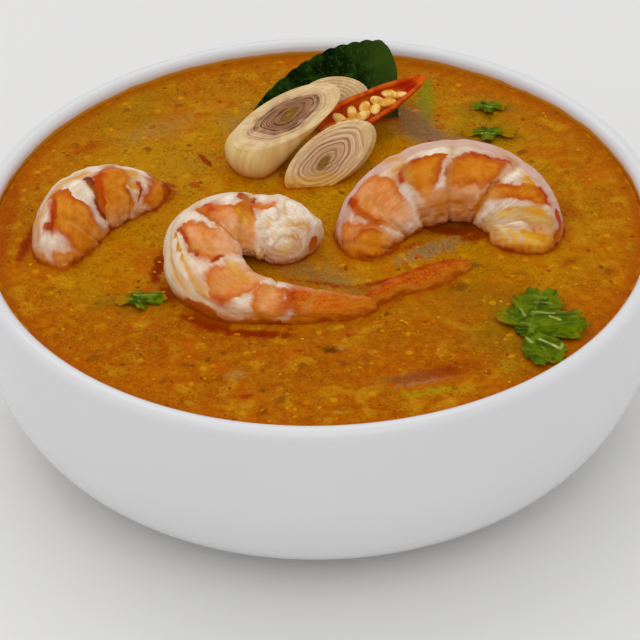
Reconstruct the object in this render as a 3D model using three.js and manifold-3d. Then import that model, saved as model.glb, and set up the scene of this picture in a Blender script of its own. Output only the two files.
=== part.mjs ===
// Tom yum soup with prawns, served in a plain white porcelain bowl.
// Millimetres, +Z up. The origin is the centre of the foot ring, on the table.
import * as THREE from 'three';
import { mergeVertices } from 'three/addons/utils/BufferGeometryUtils.js';
import Module from 'manifold-3d';

const wasm = await Module();
wasm.setup();

// ---------------------------------------------------------------- driving dimensions

const GAP = 0.3;                // clearance between the broth and what it touches
const TURN = 2 * Math.PI;

const BOWL = {
  rimRadius: 87.5,
  height: 58,
  lip: 4.8,                     // thickness of the rounded lip
  lipSteps: 6,
  footRadius: 38,
  footWidth: 5,
  footHeight: 1.8,
  footChamfer: 0.5,
  outerPower: 3.4,              // superellipse exponent of the outside: over 2 has square shoulders
  outerSteps: 10,
  floorRadius: 31,
  floorHeight: 6.6,
  innerPower: 3.1,
  innerSteps: 8,
  sides: 48,
};

const SOUP_LEVEL = 54.3;

// The largest chilli and herb flecks that float on top of the open soup.
const FLECKS = {
  count: 16,
  radius: [0.8, 1.5],
  stretch: 1.3,
  height: 0.45,
  spacing: 7,
  reach: 76,
  seed: 41,
  // Round areas they stay out of, where something lies in the soup: [x, y, radius].
  keepOut: [[31, -1, 36], [-19, -22, 30], [-55, 4, 26], [3, 38, 36], [30, -27, 18], [-44, -30, 10],
    [50, -44, 20], [46, 54, 9], [45, 40, 11], [3, -35, 12]],
};

// A peeled prawn lies on its side as a letter C. Its spine is drawn in a flat plane, from
// the cut head end to the tail, and the plane is then tilted and turned into the soup.
// `depth` is the half distance from back to belly, `width` the half distance from flank to
// flank, both at the spine's points. `joints` are the grooves between the segments, as
// shares of the spine. `fan` lists the blades of the tail in the prawn's own plane.
const PRAWNS = {
  prawn_right: {
    at: [31, 2, 60.1],
    tilt: 35,
    turn: 0,
    spine: [[19.5, -18.5], [21, -9], [18, -1.5], [10.5, 4], [0, 4.7], [-10.5, 0.5], [-17, -6.5],
      [-18.5, -14.5], [-16, -22.5]],
    depth: [8.5, 9.7, 10.4, 10.6, 10.8, 10.2, 9.3, 8, 6.5],
    width: [7, 8, 8.3, 8.2, 8, 7.8, 7.2, 6.5, 5.5],
    joints: [0.3, 0.455, 0.57, 0.7, 0.85],
    fan: [],
  },
  prawn_centre: {
    at: [-19, -22, 57.75],
    tilt: 12,
    turn: 8,
    spine: [[15.6, 3], [11.8, 9.7], [4.2, 13.4], [-3.6, 13.8], [-8.3, 9], [-8.7, -1], [-3.3, -9.6],
      [4.5, -13.5], [14, -16.2], [23, -17.7], [31, -18.2]],
    depth: [7.6, 8.4, 8.7, 9.3, 9.6, 9.8, 8.8, 7.4, 6, 4.6, 3.2],
    width: [7.6, 8, 7.6, 7.2, 7, 7, 6.6, 6, 5.2, 4, 2.6],
    joints: [0.2, 0.33, 0.45, 0.565, 0.68, 0.79],
    fan: [
      { at: [41.3, -11.7, -0.3], size: [16.5, 4, 1.1], heading: 21, rise: -2.3, roll: 39 },
      { at: [42, -10.9, -1.1], size: [15.5, 3.6, 1], heading: 27.6, rise: -4.6, roll: 19 },
      { at: [39.1, -13.6, -1], size: [13.5, 3.4, 1], heading: 14, rise: -2, roll: 28 },
    ],
  },
  prawn_left: {
    at: [-56.5, 4, 55.8],
    tilt: 50,
    turn: 52,
    spine: [[15.5, -19.5], [16, -10.5], [11.5, -3], [4, 1.5], [-4, 2], [-11, -1], [-15.5, -7],
      [-17, -13.5]],
    depth: [7, 8.5, 9.6, 10, 10.2, 9.7, 8.6, 7],
    width: [6, 7, 7.8, 8, 8, 7.6, 7, 6],
    joints: [0.18, 0.34, 0.51, 0.68, 0.85],
    fan: [],
  },
};

const PRAWN_FORM = {
  cap: 0.05,                    // share of the spine over which each end rounds off
  belly: 0.2,                   // how much narrower the belly side is than the back
  groove: 0.075,                // depth of the grooves between segments, as a share of the girth
  grooveWidth: 0.016,
  grooveSlant: 0.02,            // the grooves lean towards the tail on the belly side
  bandGroove: 0.03,             // shallow line on either side of the band along the back
  bandAngle: 0.55,
  bandWidth: 0.12,
  halfRing: [0, 0.28, 0.55, 0.85, 1.2, 1.6, 2.05, 2.6],
  endStations: [0.004, 0.018, 0.045, 0.08],
  firstCut: 0.09,
  betweenCuts: [0.32, 0.7],
};

// Lemongrass: each piece starts at a slanted oval cut face (its centre, normal and long half
// axis), is `narrow` across half its width and runs away from the face along `away`.
// A thin slice ends parallel to its face; the longer piece ends in a blunt dome.
const LEMONGRASS = {
  lemongrass_large: {
    face: [-7.3, 32.9, 66.4],
    normal: [-0.07, -0.218, 0.973],
    long: [13.4, 9.3, 3],
    narrow: 7.8,
    away: [-0.697, -0.409, -0.589],
    length: 14,
    dome: 6,
  },
  lemongrass_small: {
    face: [2.9, 22, 60.1],
    normal: [0.04, -0.714, 0.7],
    long: [10.8, 6.2, 5.8],
    narrow: 6.7,
    away: [0.35, 0.75, -0.55],
    length: 4.5,
    dome: 0,
  },
  lemongrass_back: {
    face: [5, 47.9, 61.9],
    normal: [0.1, -0.7, 0.7],
    long: [9.5, 1.5, 0],
    narrow: 6,
    away: [0, 0.71, -0.71],
    length: 3.6,
    dome: 0,
  },
};

const LEMONGRASS_FORM = {
  sides: 24,
  faceEdge: [0.96, 0.5],        // the cut edge: size of the face ring, distance to full size
  backEdge: [0.86, 1.2],
  domeRings: [0, 0.45, 0.8],
  domeTip: [0.3, 0.2],
};

// Half a chilli, cut along its length, with its seeds.
const CHILLI = {
  butt: [1, 33.5, 60.9],        // middle of the end where the stalk was
  tip: [30.2, 53.6, 65],
  up: [-0.1, -0.45, 0.89],      // roughly where the cut face looks
  halfWidth: 5.3,
  depth: 0.95,                  // depth of the skin, as a share of the half width
  hollow: 0.8,                  // depth of the hollow, as a share of its half width
  wall: 1.3,
  leastHollow: 0.55,            // half width of the hollow near the ends, as a share of the skin's
  rib: 0.45,                    // how far the rib along the floor fills the hollow
  ribWidth: 0.35,
  shoulder: 0.3,                // share of the length over which the butt swells
  taper: [2.6, 0.72],
  ends: 0.012,                  // share of the length outside the first and the last ring
  endDrop: [1.5, 0.2],
  hollowEnd: 0.92,              // share of the length where the hollow ends
  stations: 10,
  outerSteps: 8,
  innerSteps: 6,
  seeds: 11,
  seedSize: [1.75, 1.2, 0.7],
  seedRange: [0.16, 0.72],
  seedSide: [0.2, 0.45],
  seedDrop: 0.33,
  seedTurn: [0.9, 0.5],
  seed: 7,
};

// The makrut lime leaf stands in the soup behind the lemongrass and leans back. `left` and
// `right` are the ends of its lower edge, and its height is measured up the leaf.
const LIME_LEAF = {
  at: [1.1, 48.2, 54.3],
  lean: 45,
  left: -19.5,
  right: 21,
  crest: 16.5,                  // where the upper edge is highest
  height: 21.8,
  roundness: 0.77,
  drop: 8,                      // how far the upper edge has come down at the right end
  dropPower: 1.3,
  leastEdge: 0.4,
  sunk: 5,
  tooth: 0.45,
  toothPitch: 3.4,
  wave: { height: 1.1, pace: 0.17, start: 0.6 },
  ripple: { height: 0.35, across: 0.55, up: 0.3 },
  thickness: 0.6,
  columns: 26,
  rows: 3,
};

// Coriander leaves: round lobes, each [direction in degrees, length, half angle]; between
// the lobes the edge comes in to the waist.
const CORIANDER = {
  coriander_right: {
    at: [50, -46, 55.6],
    tilt: [2, -2],
    lobes: [[74, 15.2, 48], [136, 9.4, 38], [4, 13.6, 46], [-72, 14.6, 42]],
    waist: 3.6,
    sides: 44,
  },
  coriander_left: {
    at: [-44.3, -31.3, 55.4],
    tilt: [0, 2],
    lobes: [[10, 7, 45], [185, 5.5, 35], [95, 4.2, 40], [-70, 4.2, 42]],
    waist: 2.6,
    sides: 28,
  },
  coriander_back_a: {
    at: [46.2, 52.6, 55.5],
    tilt: [1, 0],
    lobes: [[5, 5.2, 45], [175, 4.6, 40], [80, 4, 40], [-85, 3.6, 40]],
    waist: 2.4,
    sides: 28,
  },
  coriander_back_b: {
    at: [45.5, 39.8, 55.6],
    tilt: [0, -1],
    lobes: [[-5, 7.5, 32], [172, 7, 32], [75, 4.4, 36], [-95, 4.8, 40]],
    waist: 2.8,
    sides: 28,
  },
};

const CORIANDER_FORM = {
  thickness: 0.5,
  lobePower: [2.4, 0.6],
  teeth: 17,
  tooth: 0.05,
  wave: { height: 0.35, count: 3, start: 0.7 },
  curl: { height: 0.25, count: 7 },
};

const FINISHES = {
  porcelain: { color: 0xe6e6e4, roughness: 0.15 },
  broth: { color: 0xb56a08, roughness: 0.2 },
  prawn: { color: 0xe58d4a, roughness: 0.35 },
  lemongrass: { color: 0xdcc796, roughness: 0.5 },
  chilli: { color: 0xb8230a, roughness: 0.25 },
  limeLeaf: { color: 0x1f3a0c, roughness: 0.4 },
  coriander: { color: 0x557d12, roughness: 0.5 },
};

// ---------------------------------------------------------------- helpers

// Small repeatable random numbers between 0 and 1, by a linear congruential rule.
function randomFrom(seed) {
  let state = seed;
  return () => {
    state = (state * 1664525 + 1013904223) % 4294967296;
    return state / 4294967296;
  };
}

const radians = (degrees) => THREE.MathUtils.degToRad(degrees);
const vector = (list) => new THREE.Vector3(...list);
const listOf = (count, make) => Array.from({ length: count }, (_, index) => make(index));

// A bump of height 1 at 0 that falls away over `width`.
const bump = (distance, width) => Math.exp(-((distance / width) ** 2));

function smoothCurve(points) {
  return new THREE.CatmullRomCurve3(points, false, 'catmullrom', 0.5);
}

function geometryFrom(points, faces) {
  const geometry = new THREE.BufferGeometry();
  geometry.setAttribute('position', new THREE.Float32BufferAttribute(points.flat(), 3));
  geometry.setIndex(faces.flat());
  return geometry;
}

// Skins closed rings, all with the same number of points, between two end points. The rings
// run anticlockwise as seen from the last end.
function skin(first, rings, last) {
  const count = rings[0].length;
  const points = [first, ...rings.flat(), last];
  const end = points.length - 1;
  const rim = end - count;
  const faces = [];
  for (let j = 0; j < count; j++) {
    const k = (j + 1) % count;
    faces.push([0, 1 + k, 1 + j]);
    for (let a = 1; a < rim; a += count) {
      const b = a + count;
      faces.push([a + j, a + k, b + k], [a + j, b + k, b + j]);
    }
    faces.push([rim + j, rim + k, end]);
  }
  return geometryFrom(points, faces);
}

// A closed sheet: a front and a back grid of rows, split alike, joined along the border.
function sheet(front, back) {
  const rows = front.length;
  const columns = front[0].length;
  const half = rows * columns;
  const faces = [];
  for (let i = 0; i + 1 < rows; i++) {
    for (let j = 0; j + 1 < columns; j++) {
      const a = i * columns + j;
      const [b, c, d] = [a + 1, a + columns + 1, a + columns];
      faces.push([a, b, c], [a, c, d]);
      faces.push([half + a, half + c, half + b], [half + a, half + d, half + c]);
    }
  }
  const border = [
    ...listOf(columns, (j) => j),
    ...listOf(rows - 1, (i) => (i + 2) * columns - 1),
    ...listOf(columns - 1, (j) => half - 2 - j),
    ...listOf(rows - 2, (i) => (rows - 2 - i) * columns),
  ];
  border.forEach((a, i) => {
    const b = border[(i + 1) % border.length];
    faces.push([a, half + a, half + b], [a, half + b, b]);
  });
  return geometryFrom([...front.flat(), ...back.flat()], faces);
}

function solidOf(geometry) {
  const bare = geometry.clone();
  bare.deleteAttribute('normal');
  bare.deleteAttribute('uv');
  const merged = mergeVertices(bare, 1e-4);
  return new wasm.Manifold(new wasm.Mesh({
    numProp: 3,
    vertProperties: new Float32Array(merged.attributes.position.array),
    triVerts: new Uint32Array(merged.index.array),
  }));
}

function geometryOf(solid) {
  const mesh = solid.getMesh();
  const geometry = new THREE.BufferGeometry();
  geometry.setAttribute('position', new THREE.Float32BufferAttribute(mesh.vertProperties, 3));
  geometry.setIndex(Array.from(mesh.triVerts));
  return geometry;
}

function pieceOf(name, geometry, finish) {
  const material = new THREE.MeshStandardMaterial({ ...finish, metalness: 0 });
  const mesh = new THREE.Mesh(geometry, material);
  mesh.name = name;
  return mesh;
}

// ---------------------------------------------------------------- bowl

// A wall from a flat floor to an upright top: one quarter of a superellipse, or its lower
// part as far as the angle `until`.
function wallCurve(from, to, power, steps, until = Math.PI / 2) {
  return listOf(steps + 1, (i) => {
    const angle = until * (i / steps);
    const reach = Math.sin(angle) ** (2 / power);
    const rise = 1 - Math.cos(angle) ** (2 / power);
    return new THREE.Vector2(
      from[0] + (to[0] - from[0]) * reach,
      from[1] + (to[1] - from[1]) * rise,
    );
  });
}

function turned(profile) {
  return new THREE.LatheGeometry(profile, BOWL.sides).rotateX(Math.PI / 2);
}

function bowlGeometry() {
  const lipRadius = BOWL.lip / 2;
  const lipHeight = BOWL.height - lipRadius;
  const footInner = BOWL.footRadius - BOWL.footWidth;
  const foot = [
    new THREE.Vector2(0, BOWL.footHeight),
    new THREE.Vector2(footInner, BOWL.footHeight),
    new THREE.Vector2(footInner + BOWL.footChamfer, 0),
    new THREE.Vector2(BOWL.footRadius - BOWL.footChamfer, 0),
  ];
  const outside = wallCurve([BOWL.footRadius, BOWL.footHeight], [BOWL.rimRadius, lipHeight],
    BOWL.outerPower, BOWL.outerSteps);
  const lip = listOf(BOWL.lipSteps - 1, (step) => {
    const angle = Math.PI * ((step + 1) / BOWL.lipSteps);
    return new THREE.Vector2(BOWL.rimRadius - lipRadius + lipRadius * Math.cos(angle),
      lipHeight + lipRadius * Math.sin(angle));
  });
  const inside = wallCurve([BOWL.floorRadius, BOWL.floorHeight],
    [BOWL.rimRadius - BOWL.lip, lipHeight], BOWL.innerPower, BOWL.innerSteps).reverse();
  return turned([...foot, ...outside, ...lip, ...inside, new THREE.Vector2(0, BOWL.floorHeight)]);
}

// ---------------------------------------------------------------- broth

// Low round flecks, clear of everything that lies in the soup and of each other.
function fleckGeometries() {
  const random = randomFrom(FLECKS.seed);
  const [least, most] = FLECKS.radius;
  const placed = [];
  while (placed.length < FLECKS.count) {
    const angle = TURN * random();
    const out = FLECKS.reach * Math.sqrt(random());
    const [x, y] = [out * Math.cos(angle), out * Math.sin(angle)];
    const radius = least + (most - least) * random();
    const inTheWay = [
      ...FLECKS.keepOut.map(([cx, cy, reach]) => [cx, cy, reach + radius]),
      ...placed.map((other) => [other.x, other.y, FLECKS.spacing]),
    ];
    if (inTheWay.every(([cx, cy, reach]) => Math.hypot(x - cx, y - cy) > reach)) {
      placed.push({ x, y, radius, angle });
    }
  }
  return placed.map(({ x, y, radius, angle }) => new THREE.SphereGeometry(1, 7, 4)
    .rotateX(Math.PI / 2)
    .scale(radius * FLECKS.stretch, radius, FLECKS.height)
    .rotateZ(angle)
    .translate(x, y, SOUP_LEVEL));
}

// The broth fills the bowl up to its level and is cut round everything sunk in it.
function brothGeometry(sunken) {
  const from = [BOWL.floorRadius, BOWL.floorHeight + GAP];
  const to = [BOWL.rimRadius - BOWL.lip - GAP, BOWL.height - BOWL.lip / 2];
  const rise = (SOUP_LEVEL - from[1]) / (to[1] - from[1]);
  const until = Math.acos((1 - rise) ** (BOWL.innerPower / 2));
  const wall = wallCurve(from, to, BOWL.innerPower, BOWL.innerSteps, until);
  let broth = solidOf(turned(
    [new THREE.Vector2(0, from[1]), ...wall, new THREE.Vector2(0, SOUP_LEVEL)]));
  for (const fleck of fleckGeometries()) broth = broth.add(solidOf(fleck));
  for (const piece of sunken) broth = broth.subtract(solidOf(piece));
  return geometryOf(broth);
}

// ---------------------------------------------------------------- prawns

// A value listed at the spine's points, smoothed along it by the spine's own curve.
function smoothList(list) {
  const curve = smoothCurve(list.map((value) => new THREE.Vector3(value, 0, 0)));
  return (along) => curve.getPoint(along).x;
}

// Places of the rings along the spine: close together at the ends, and one in each groove.
function prawnStations(joints) {
  const { endStations, firstCut, betweenCuts } = PRAWN_FORM;
  const cuts = [firstCut, ...joints, 1 - firstCut];
  const between = cuts.slice(1).flatMap((cut, i) => (
    betweenCuts.map((share) => cuts[i] + (cut - cuts[i]) * share)));
  const ends = endStations.flatMap((share) => [share, 1 - share]);
  return [...ends, ...cuts, ...between].sort((a, b) => a - b);
}

// Share of the girth lost in the grooves between segments and beside the band on the back.
function prawnGroove(joints, along, angle) {
  const { groove, grooveWidth, grooveSlant, bandGroove, bandAngle, bandWidth } = PRAWN_FORM;
  const place = along - grooveSlant * (1 - Math.cos(angle));
  const across = joints.reduce((sum, joint) => sum + bump(place - joint, grooveWidth), 0);
  return groove * across + bandGroove * bump(Math.abs(angle) - bandAngle, bandWidth);
}

// Oval rings along the spine. An angle of 0 is the back, half a turn is the belly.
function prawnBody({ spine: points, depth, width, joints }, grow) {
  const { cap, belly, halfRing } = PRAWN_FORM;
  const spine = smoothCurve(points.map(([x, y]) => new THREE.Vector3(x, y, 0)));
  const depthAt = smoothList(depth);
  const widthAt = smoothList(width);
  const angles = [...halfRing, Math.PI, ...halfRing.slice(1).reverse().map((angle) => -angle)];
  const onSpine = (along, push) => (
    spine.getPoint(along).addScaledVector(spine.getTangent(along), push));
  const rings = prawnStations(joints).map((along) => {
    const blunt = Math.min(along, 1 - along, cap) / cap;
    const closing = Math.sqrt(1 - (1 - blunt) ** 2);
    const centre = onSpine(along, grow * (1 - blunt) * Math.sign(along - 0.5));
    const heading = spine.getTangent(along);
    const halfDepth = depthAt(along) * closing + grow;
    const halfWidth = widthAt(along) * closing + grow;
    return angles.map((angle) => {
      const girth = 1 - prawnGroove(joints, along, angle);
      const narrowing = 1 - belly * (1 - Math.cos(angle)) / 2;
      const out = halfDepth * girth * Math.cos(angle);
      const side = halfWidth * girth * narrowing * Math.sin(angle);
      return [centre.x + heading.y * out, centre.y - heading.x * out, -side];
    });
  });
  return skin(onSpine(0, -grow).toArray(), rings, onSpine(1, grow).toArray());
}

function bladeGeometry({ at, size, heading, rise, roll }, grow) {
  return new THREE.SphereGeometry(1, 9, 6)
    .rotateZ(Math.PI / 2)
    .scale(...size.map((half) => half + grow))
    .rotateX(radians(roll))
    .rotateY(radians(-rise))
    .rotateZ(radians(heading))
    .translate(...at);
}

function prawnGeometry(prawn, grow = 0) {
  let solid = solidOf(prawnBody(prawn, grow));
  for (const blade of prawn.fan) solid = solid.add(solidOf(bladeGeometry(blade, grow)));
  return geometryOf(solid);
}

function prawnPiece(name) {
  const prawn = PRAWNS[name];
  const piece = pieceOf(name, prawnGeometry(prawn), FINISHES.prawn);
  piece.position.set(...prawn.at);
  piece.rotation.set(radians(prawn.tilt), 0, radians(prawn.turn), 'ZXY');
  return piece;
}

// ---------------------------------------------------------------- lemongrass

// A slice in its own frame: the cut face is in the XY plane, its long axis on X.
// `direction` is where the stalk runs from there.
function lemongrassGeometry({ long, narrow, length, dome }, direction, grow = 0) {
  const { sides, faceEdge, backEdge, domeRings, domeTip } = LEMONGRASS_FORM;
  const halfLong = vector(long).length() + grow;
  const halfNarrow = narrow + grow;
  const ringAt = (distance, size, squared) => listOf(sides, (i) => {
    const angle = -TURN * (i / sides);
    const offset = new THREE.Vector3(halfLong * Math.cos(angle), halfNarrow * Math.sin(angle), 0);
    if (squared) offset.addScaledVector(direction, -offset.dot(direction));
    return offset.multiplyScalar(size).addScaledVector(direction, distance).toArray();
  });
  const end = length + dome + grow;
  const rings = [ringAt(-grow, faceEdge[0], false), ringAt(faceEdge[1] - grow, 1, false)];
  if (dome > 0) {
    rings.push(...domeRings.map((share) => (
      ringAt(length + (dome + grow) * share, Math.sqrt(1 - share * share), true))));
    rings.push(ringAt(end - domeTip[1], domeTip[0], true));
  } else {
    rings.push(ringAt(end - backEdge[1], 1, false), ringAt(end, backEdge[0], false));
  }
  const onAxis = (distance) => direction.clone().multiplyScalar(distance).toArray();
  return skin(onAxis(-grow), rings, onAxis(end));
}

// The slice's own frame, and the stalk's direction in it.
function lemongrassFrame({ normal, long, away }) {
  const x = vector(long).normalize();
  const z = vector(normal).addScaledVector(x, -x.dot(vector(normal))).normalize();
  const basis = new THREE.Matrix4().makeBasis(x, z.clone().cross(x), z);
  const direction = vector(away).transformDirection(basis.clone().invert());
  return { basis, direction };
}

function lemongrassPiece(name) {
  const slice = LEMONGRASS[name];
  const { basis, direction } = lemongrassFrame(slice);
  const piece = pieceOf(name, lemongrassGeometry(slice, direction), FINISHES.lemongrass);
  piece.position.set(...slice.face);
  piece.quaternion.setFromRotationMatrix(basis);
  return piece;
}

// ---------------------------------------------------------------- chilli

const chilliTaper = (along) => (1 - along ** CHILLI.taper[0]) ** CHILLI.taper[1];

// A boat of flesh with a shallow hollow and a rib along its floor: the length is on X, the
// cut face looks along +Z and its edge is at height 0.
function chilliBoat(length) {
  const { halfWidth, depth, hollow, wall, leastHollow, rib, ribWidth, shoulder, ends, endDrop,
    hollowEnd, stations, outerSteps, innerSteps } = CHILLI;
  const rings = listOf(stations, (i) => {
    const along = ends + (1 - 2 * ends) * (i / (stations - 1));
    const swell = Math.sqrt(1 - (1 - Math.min(along / shoulder, 1)) ** 2);
    const radius = halfWidth * swell * chilliTaper(along);
    const inner = Math.max(radius - wall, radius * leastHollow);
    const open = hollow * Math.sqrt(Math.sin(Math.PI * Math.min(along / hollowEnd, 1)));
    const x = along * length;
    const outside = listOf(outerSteps + 1, (j) => {
      const angle = Math.PI * (j / outerSteps);
      return [x, -radius * Math.cos(angle), -radius * depth * Math.sin(angle)];
    });
    const inside = listOf(innerSteps + 1, (j) => {
      const angle = Math.PI * (1 - j / innerSteps);
      const floor = 1 - rib * bump(angle - Math.PI / 2, ribWidth);
      return [x, -inner * Math.cos(angle), -open * inner * floor * Math.sin(angle)];
    });
    return [...outside, ...inside];
  });
  return skin([0, 0, -endDrop[0]], rings, [length, 0, -endDrop[1]]);
}

function chilliGeometry(length) {
  const { halfWidth, seeds, seedSize, seedRange, seedSide, seedDrop, seedTurn, seed } = CHILLI;
  const random = randomFrom(seed);
  let solid = solidOf(chilliBoat(length));
  for (let i = 0; i < seeds; i++) {
    const along = seedRange[0] + (seedRange[1] - seedRange[0]) * (i / (seeds - 1));
    const radius = halfWidth * chilliTaper(along);
    const side = seedSide[0] + (seedSide[1] - seedSide[0]) * random();
    const grain = new THREE.SphereGeometry(1, 6, 4)
      .scale(...seedSize)
      .rotateZ(seedTurn[0] * (random() - 0.5))
      .rotateX(seedTurn[1] * (random() - 0.5))
      .translate(along * length, (i % 2 ? side : -side) * radius, -seedDrop * radius);
    solid = solid.add(solidOf(grain));
  }
  return geometryOf(solid);
}

function chilliPiece() {
  const along = vector(CHILLI.tip).sub(vector(CHILLI.butt));
  const forward = along.clone().normalize();
  const side = vector(CHILLI.up).cross(forward).normalize();
  const up = forward.clone().cross(side);
  const piece = pieceOf('chilli_half', chilliGeometry(along.length()), FINISHES.chilli);
  piece.position.set(...CHILLI.butt);
  piece.quaternion.setFromRotationMatrix(new THREE.Matrix4().makeBasis(forward, side, up));
  return piece;
}

// ---------------------------------------------------------------- leaves

// Height of the lime leaf's upper edge: a long round rise, then a short drop, with teeth.
function limeLeafEdge(x) {
  const { left, right, crest, height, roundness, drop, dropPower, tooth, toothPitch } = LIME_LEAF;
  const scallop = tooth * Math.abs(Math.sin(Math.PI * (x - left) / toothPitch));
  if (x < crest) {
    const share = (x - left) / (crest - left);
    return height * (1 - (1 - share) ** 2) ** roundness + scallop * Math.min(1, share * 4);
  }
  return height - drop * ((x - crest) / (right - crest)) ** dropPower + scallop;
}

function limeLeafGeometry(grow = 0) {
  const { left, right, height, leastEdge, sunk, wave, ripple, thickness, columns, rows } = LIME_LEAF;
  const grid = (side) => listOf(rows + 1, (i) => listOf(columns + 1, (j) => {
    const x = left - grow + (right - left + 2 * grow) * (j / columns);
    const edge = Math.max(limeLeafEdge(THREE.MathUtils.clamp(x, left, right)), leastEdge);
    const up = -sunk - grow + (edge + sunk + 2 * grow) * (i / rows);
    const bend = wave.height * Math.sin(x * wave.pace + wave.start) * (up / height)
      + ripple.height * Math.sin(x * ripple.across + up * ripple.up);
    return [x, up, bend + side * (thickness / 2 + grow)];
  }));
  return sheet(grid(1), grid(-1));
}

function limeLeafPiece() {
  const piece = pieceOf('lime_leaf', limeLeafGeometry(), FINISHES.limeLeaf);
  piece.position.set(...LIME_LEAF.at);
  piece.rotation.set(radians(LIME_LEAF.lean), 0, 0);
  return piece;
}

// Radius of a coriander leaf's outline in one direction.
function corianderRadius({ lobes, waist }, angle) {
  const { lobePower, teeth, tooth } = CORIANDER_FORM;
  const reach = Math.max(...lobes.map(([direction, length, spread]) => {
    const off = angle - radians(direction);
    const share = Math.abs(Math.atan2(Math.sin(off), Math.cos(off))) / radians(spread);
    return length * Math.max(0, 1 - share ** lobePower[0]) ** lobePower[1];
  }));
  return Math.max(waist, reach * (1 + tooth * Math.cos(angle * teeth)));
}

function corianderGeometry(leaf) {
  const { thickness, wave, curl } = CORIANDER_FORM;
  const ringAt = (share, side) => listOf(leaf.sides, (j) => {
    const angle = TURN * (j / leaf.sides);
    const radius = share * corianderRadius(leaf, angle);
    const lift = wave.height * share * Math.sin(wave.count * angle + wave.start)
      + curl.height * share ** 2 * Math.sin(curl.count * angle);
    return [radius * Math.cos(angle), radius * Math.sin(angle), lift + side * thickness / 2];
  });
  const rings = [ringAt(0.5, -1), ringAt(1, -1), ringAt(1, 1), ringAt(0.5, 1)];
  return skin([0, 0, -thickness / 2], rings, [0, 0, thickness / 2]);
}

function corianderPiece(name) {
  const leaf = CORIANDER[name];
  const piece = pieceOf(name, corianderGeometry(leaf), FINISHES.coriander);
  piece.position.set(...leaf.at);
  piece.rotation.set(radians(leaf.tilt[0]), radians(leaf.tilt[1]), 0);
  return piece;
}

// ---------------------------------------------------------------- the filled bowl

// What is sunk in the broth, each piece a little larger than it is, where it lies.
function sunkenGeometries(garnish) {
  const larger = {
    ...Object.fromEntries(Object.entries(PRAWNS).map(([name, prawn]) => (
      [name, prawnGeometry(prawn, 2 * GAP)]))),
    ...Object.fromEntries(Object.entries(LEMONGRASS).map(([name, slice]) => (
      [name, lemongrassGeometry(slice, lemongrassFrame(slice).direction, 1.5 * GAP)]))),
    lime_leaf: limeLeafGeometry(1.2 * GAP),
  };
  return garnish.filter((piece) => piece.name in larger).map((piece) => {
    piece.updateMatrixWorld();
    return larger[piece.name].applyMatrix4(piece.matrixWorld);
  });
}

const garnish = [
  ...Object.keys(PRAWNS).map(prawnPiece),
  ...Object.keys(LEMONGRASS).map(lemongrassPiece),
  chilliPiece(),
  limeLeafPiece(),
  ...Object.keys(CORIANDER).map(corianderPiece),
];

const soup = new THREE.Group();
soup.add(
  pieceOf('bowl', bowlGeometry(), FINISHES.porcelain),
  pieceOf('broth', brothGeometry(sunkenGeometries(garnish)), FINISHES.broth),
  ...garnish,
);

export default soup;
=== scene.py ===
# %% [markdown]
# # A bowl of tom yum soup
# Tom yum is a hot and sour broth with a layer of chilli oil on top. This helping has three
# peeled prawns, slices of lemongrass, half a red chilli, a makrut lime leaf and a few
# coriander leaves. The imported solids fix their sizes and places, so these are loaded first,
# as the frame that every piece is fitted to.

# %% Load the frame
import math

import bpy
import numpy as np
from mathutils import Matrix, Vector
from mathutils.bvhtree import BVHTree


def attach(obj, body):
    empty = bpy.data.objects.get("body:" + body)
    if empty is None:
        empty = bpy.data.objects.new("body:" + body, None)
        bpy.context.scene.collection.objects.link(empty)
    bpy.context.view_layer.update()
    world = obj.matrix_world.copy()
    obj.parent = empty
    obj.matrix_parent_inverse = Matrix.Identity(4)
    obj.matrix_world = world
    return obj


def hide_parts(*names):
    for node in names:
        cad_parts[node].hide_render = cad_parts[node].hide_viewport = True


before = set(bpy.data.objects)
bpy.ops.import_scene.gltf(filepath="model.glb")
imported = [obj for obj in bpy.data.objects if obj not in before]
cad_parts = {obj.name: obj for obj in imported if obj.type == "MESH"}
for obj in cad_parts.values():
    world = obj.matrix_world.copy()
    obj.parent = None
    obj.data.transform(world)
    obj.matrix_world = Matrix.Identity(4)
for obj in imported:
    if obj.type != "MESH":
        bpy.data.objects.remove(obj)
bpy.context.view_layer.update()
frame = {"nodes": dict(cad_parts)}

MM = 0.001
TURN = 2 * math.pi
print("solids:", ", ".join(frame["nodes"]))

# %% [markdown]
# ## Small helpers
# Colours are written as the hex values that a paint program shows. Shaders work in linear
# light, so one function turns them. A second one adds a shader or geometry node, with its
# settings and links, and hands back the output that the next node reads. Most finishes are
# thin coats of colour, laid as a painter of model food would do it. A pattern's scale comes
# from the size of one of its cells on the real thing.

# %% Colours and nodes
def linear(hex_colour):
    """An sRGB hex colour as the linear RGBA that a shader takes."""
    channels = [int(hex_colour[i:i + 2], 16) / 255 for i in (1, 3, 5)]
    return (*[c / 12.92 if c <= 0.04045 else ((c + 0.055) / 1.055) ** 2.4 for c in channels], 1)


def add(tree, kind, settings=None, inputs=None, out=0):
    """Adds a node, sets it, links or fills its inputs, and returns one of its outputs.

    Settings may be just the name of an operation, and inputs a list in the node's order."""
    node = tree.nodes.new(kind)
    if isinstance(settings, str):
        settings = {"operation": settings}
    for name, value in (settings or {}).items():
        setattr(node, name, value)
    for key, value in inputs.items() if isinstance(inputs, dict) else enumerate(inputs or ()):
        if isinstance(value, bpy.types.NodeSocket):
            tree.links.new(value, node.inputs[key])
        else:
            node.inputs[key].default_value = value
    return node.outputs[out] if len(node.outputs) else node


def per_metre(size):
    """The scale of a pattern whose cells are `size` millimetres wide."""
    return 1000 / size


def put(name, data):
    """An object made of these data, in the scene."""
    thing = bpy.data.objects.new(name, data)
    bpy.context.scene.collection.objects.link(thing)
    return thing


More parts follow.
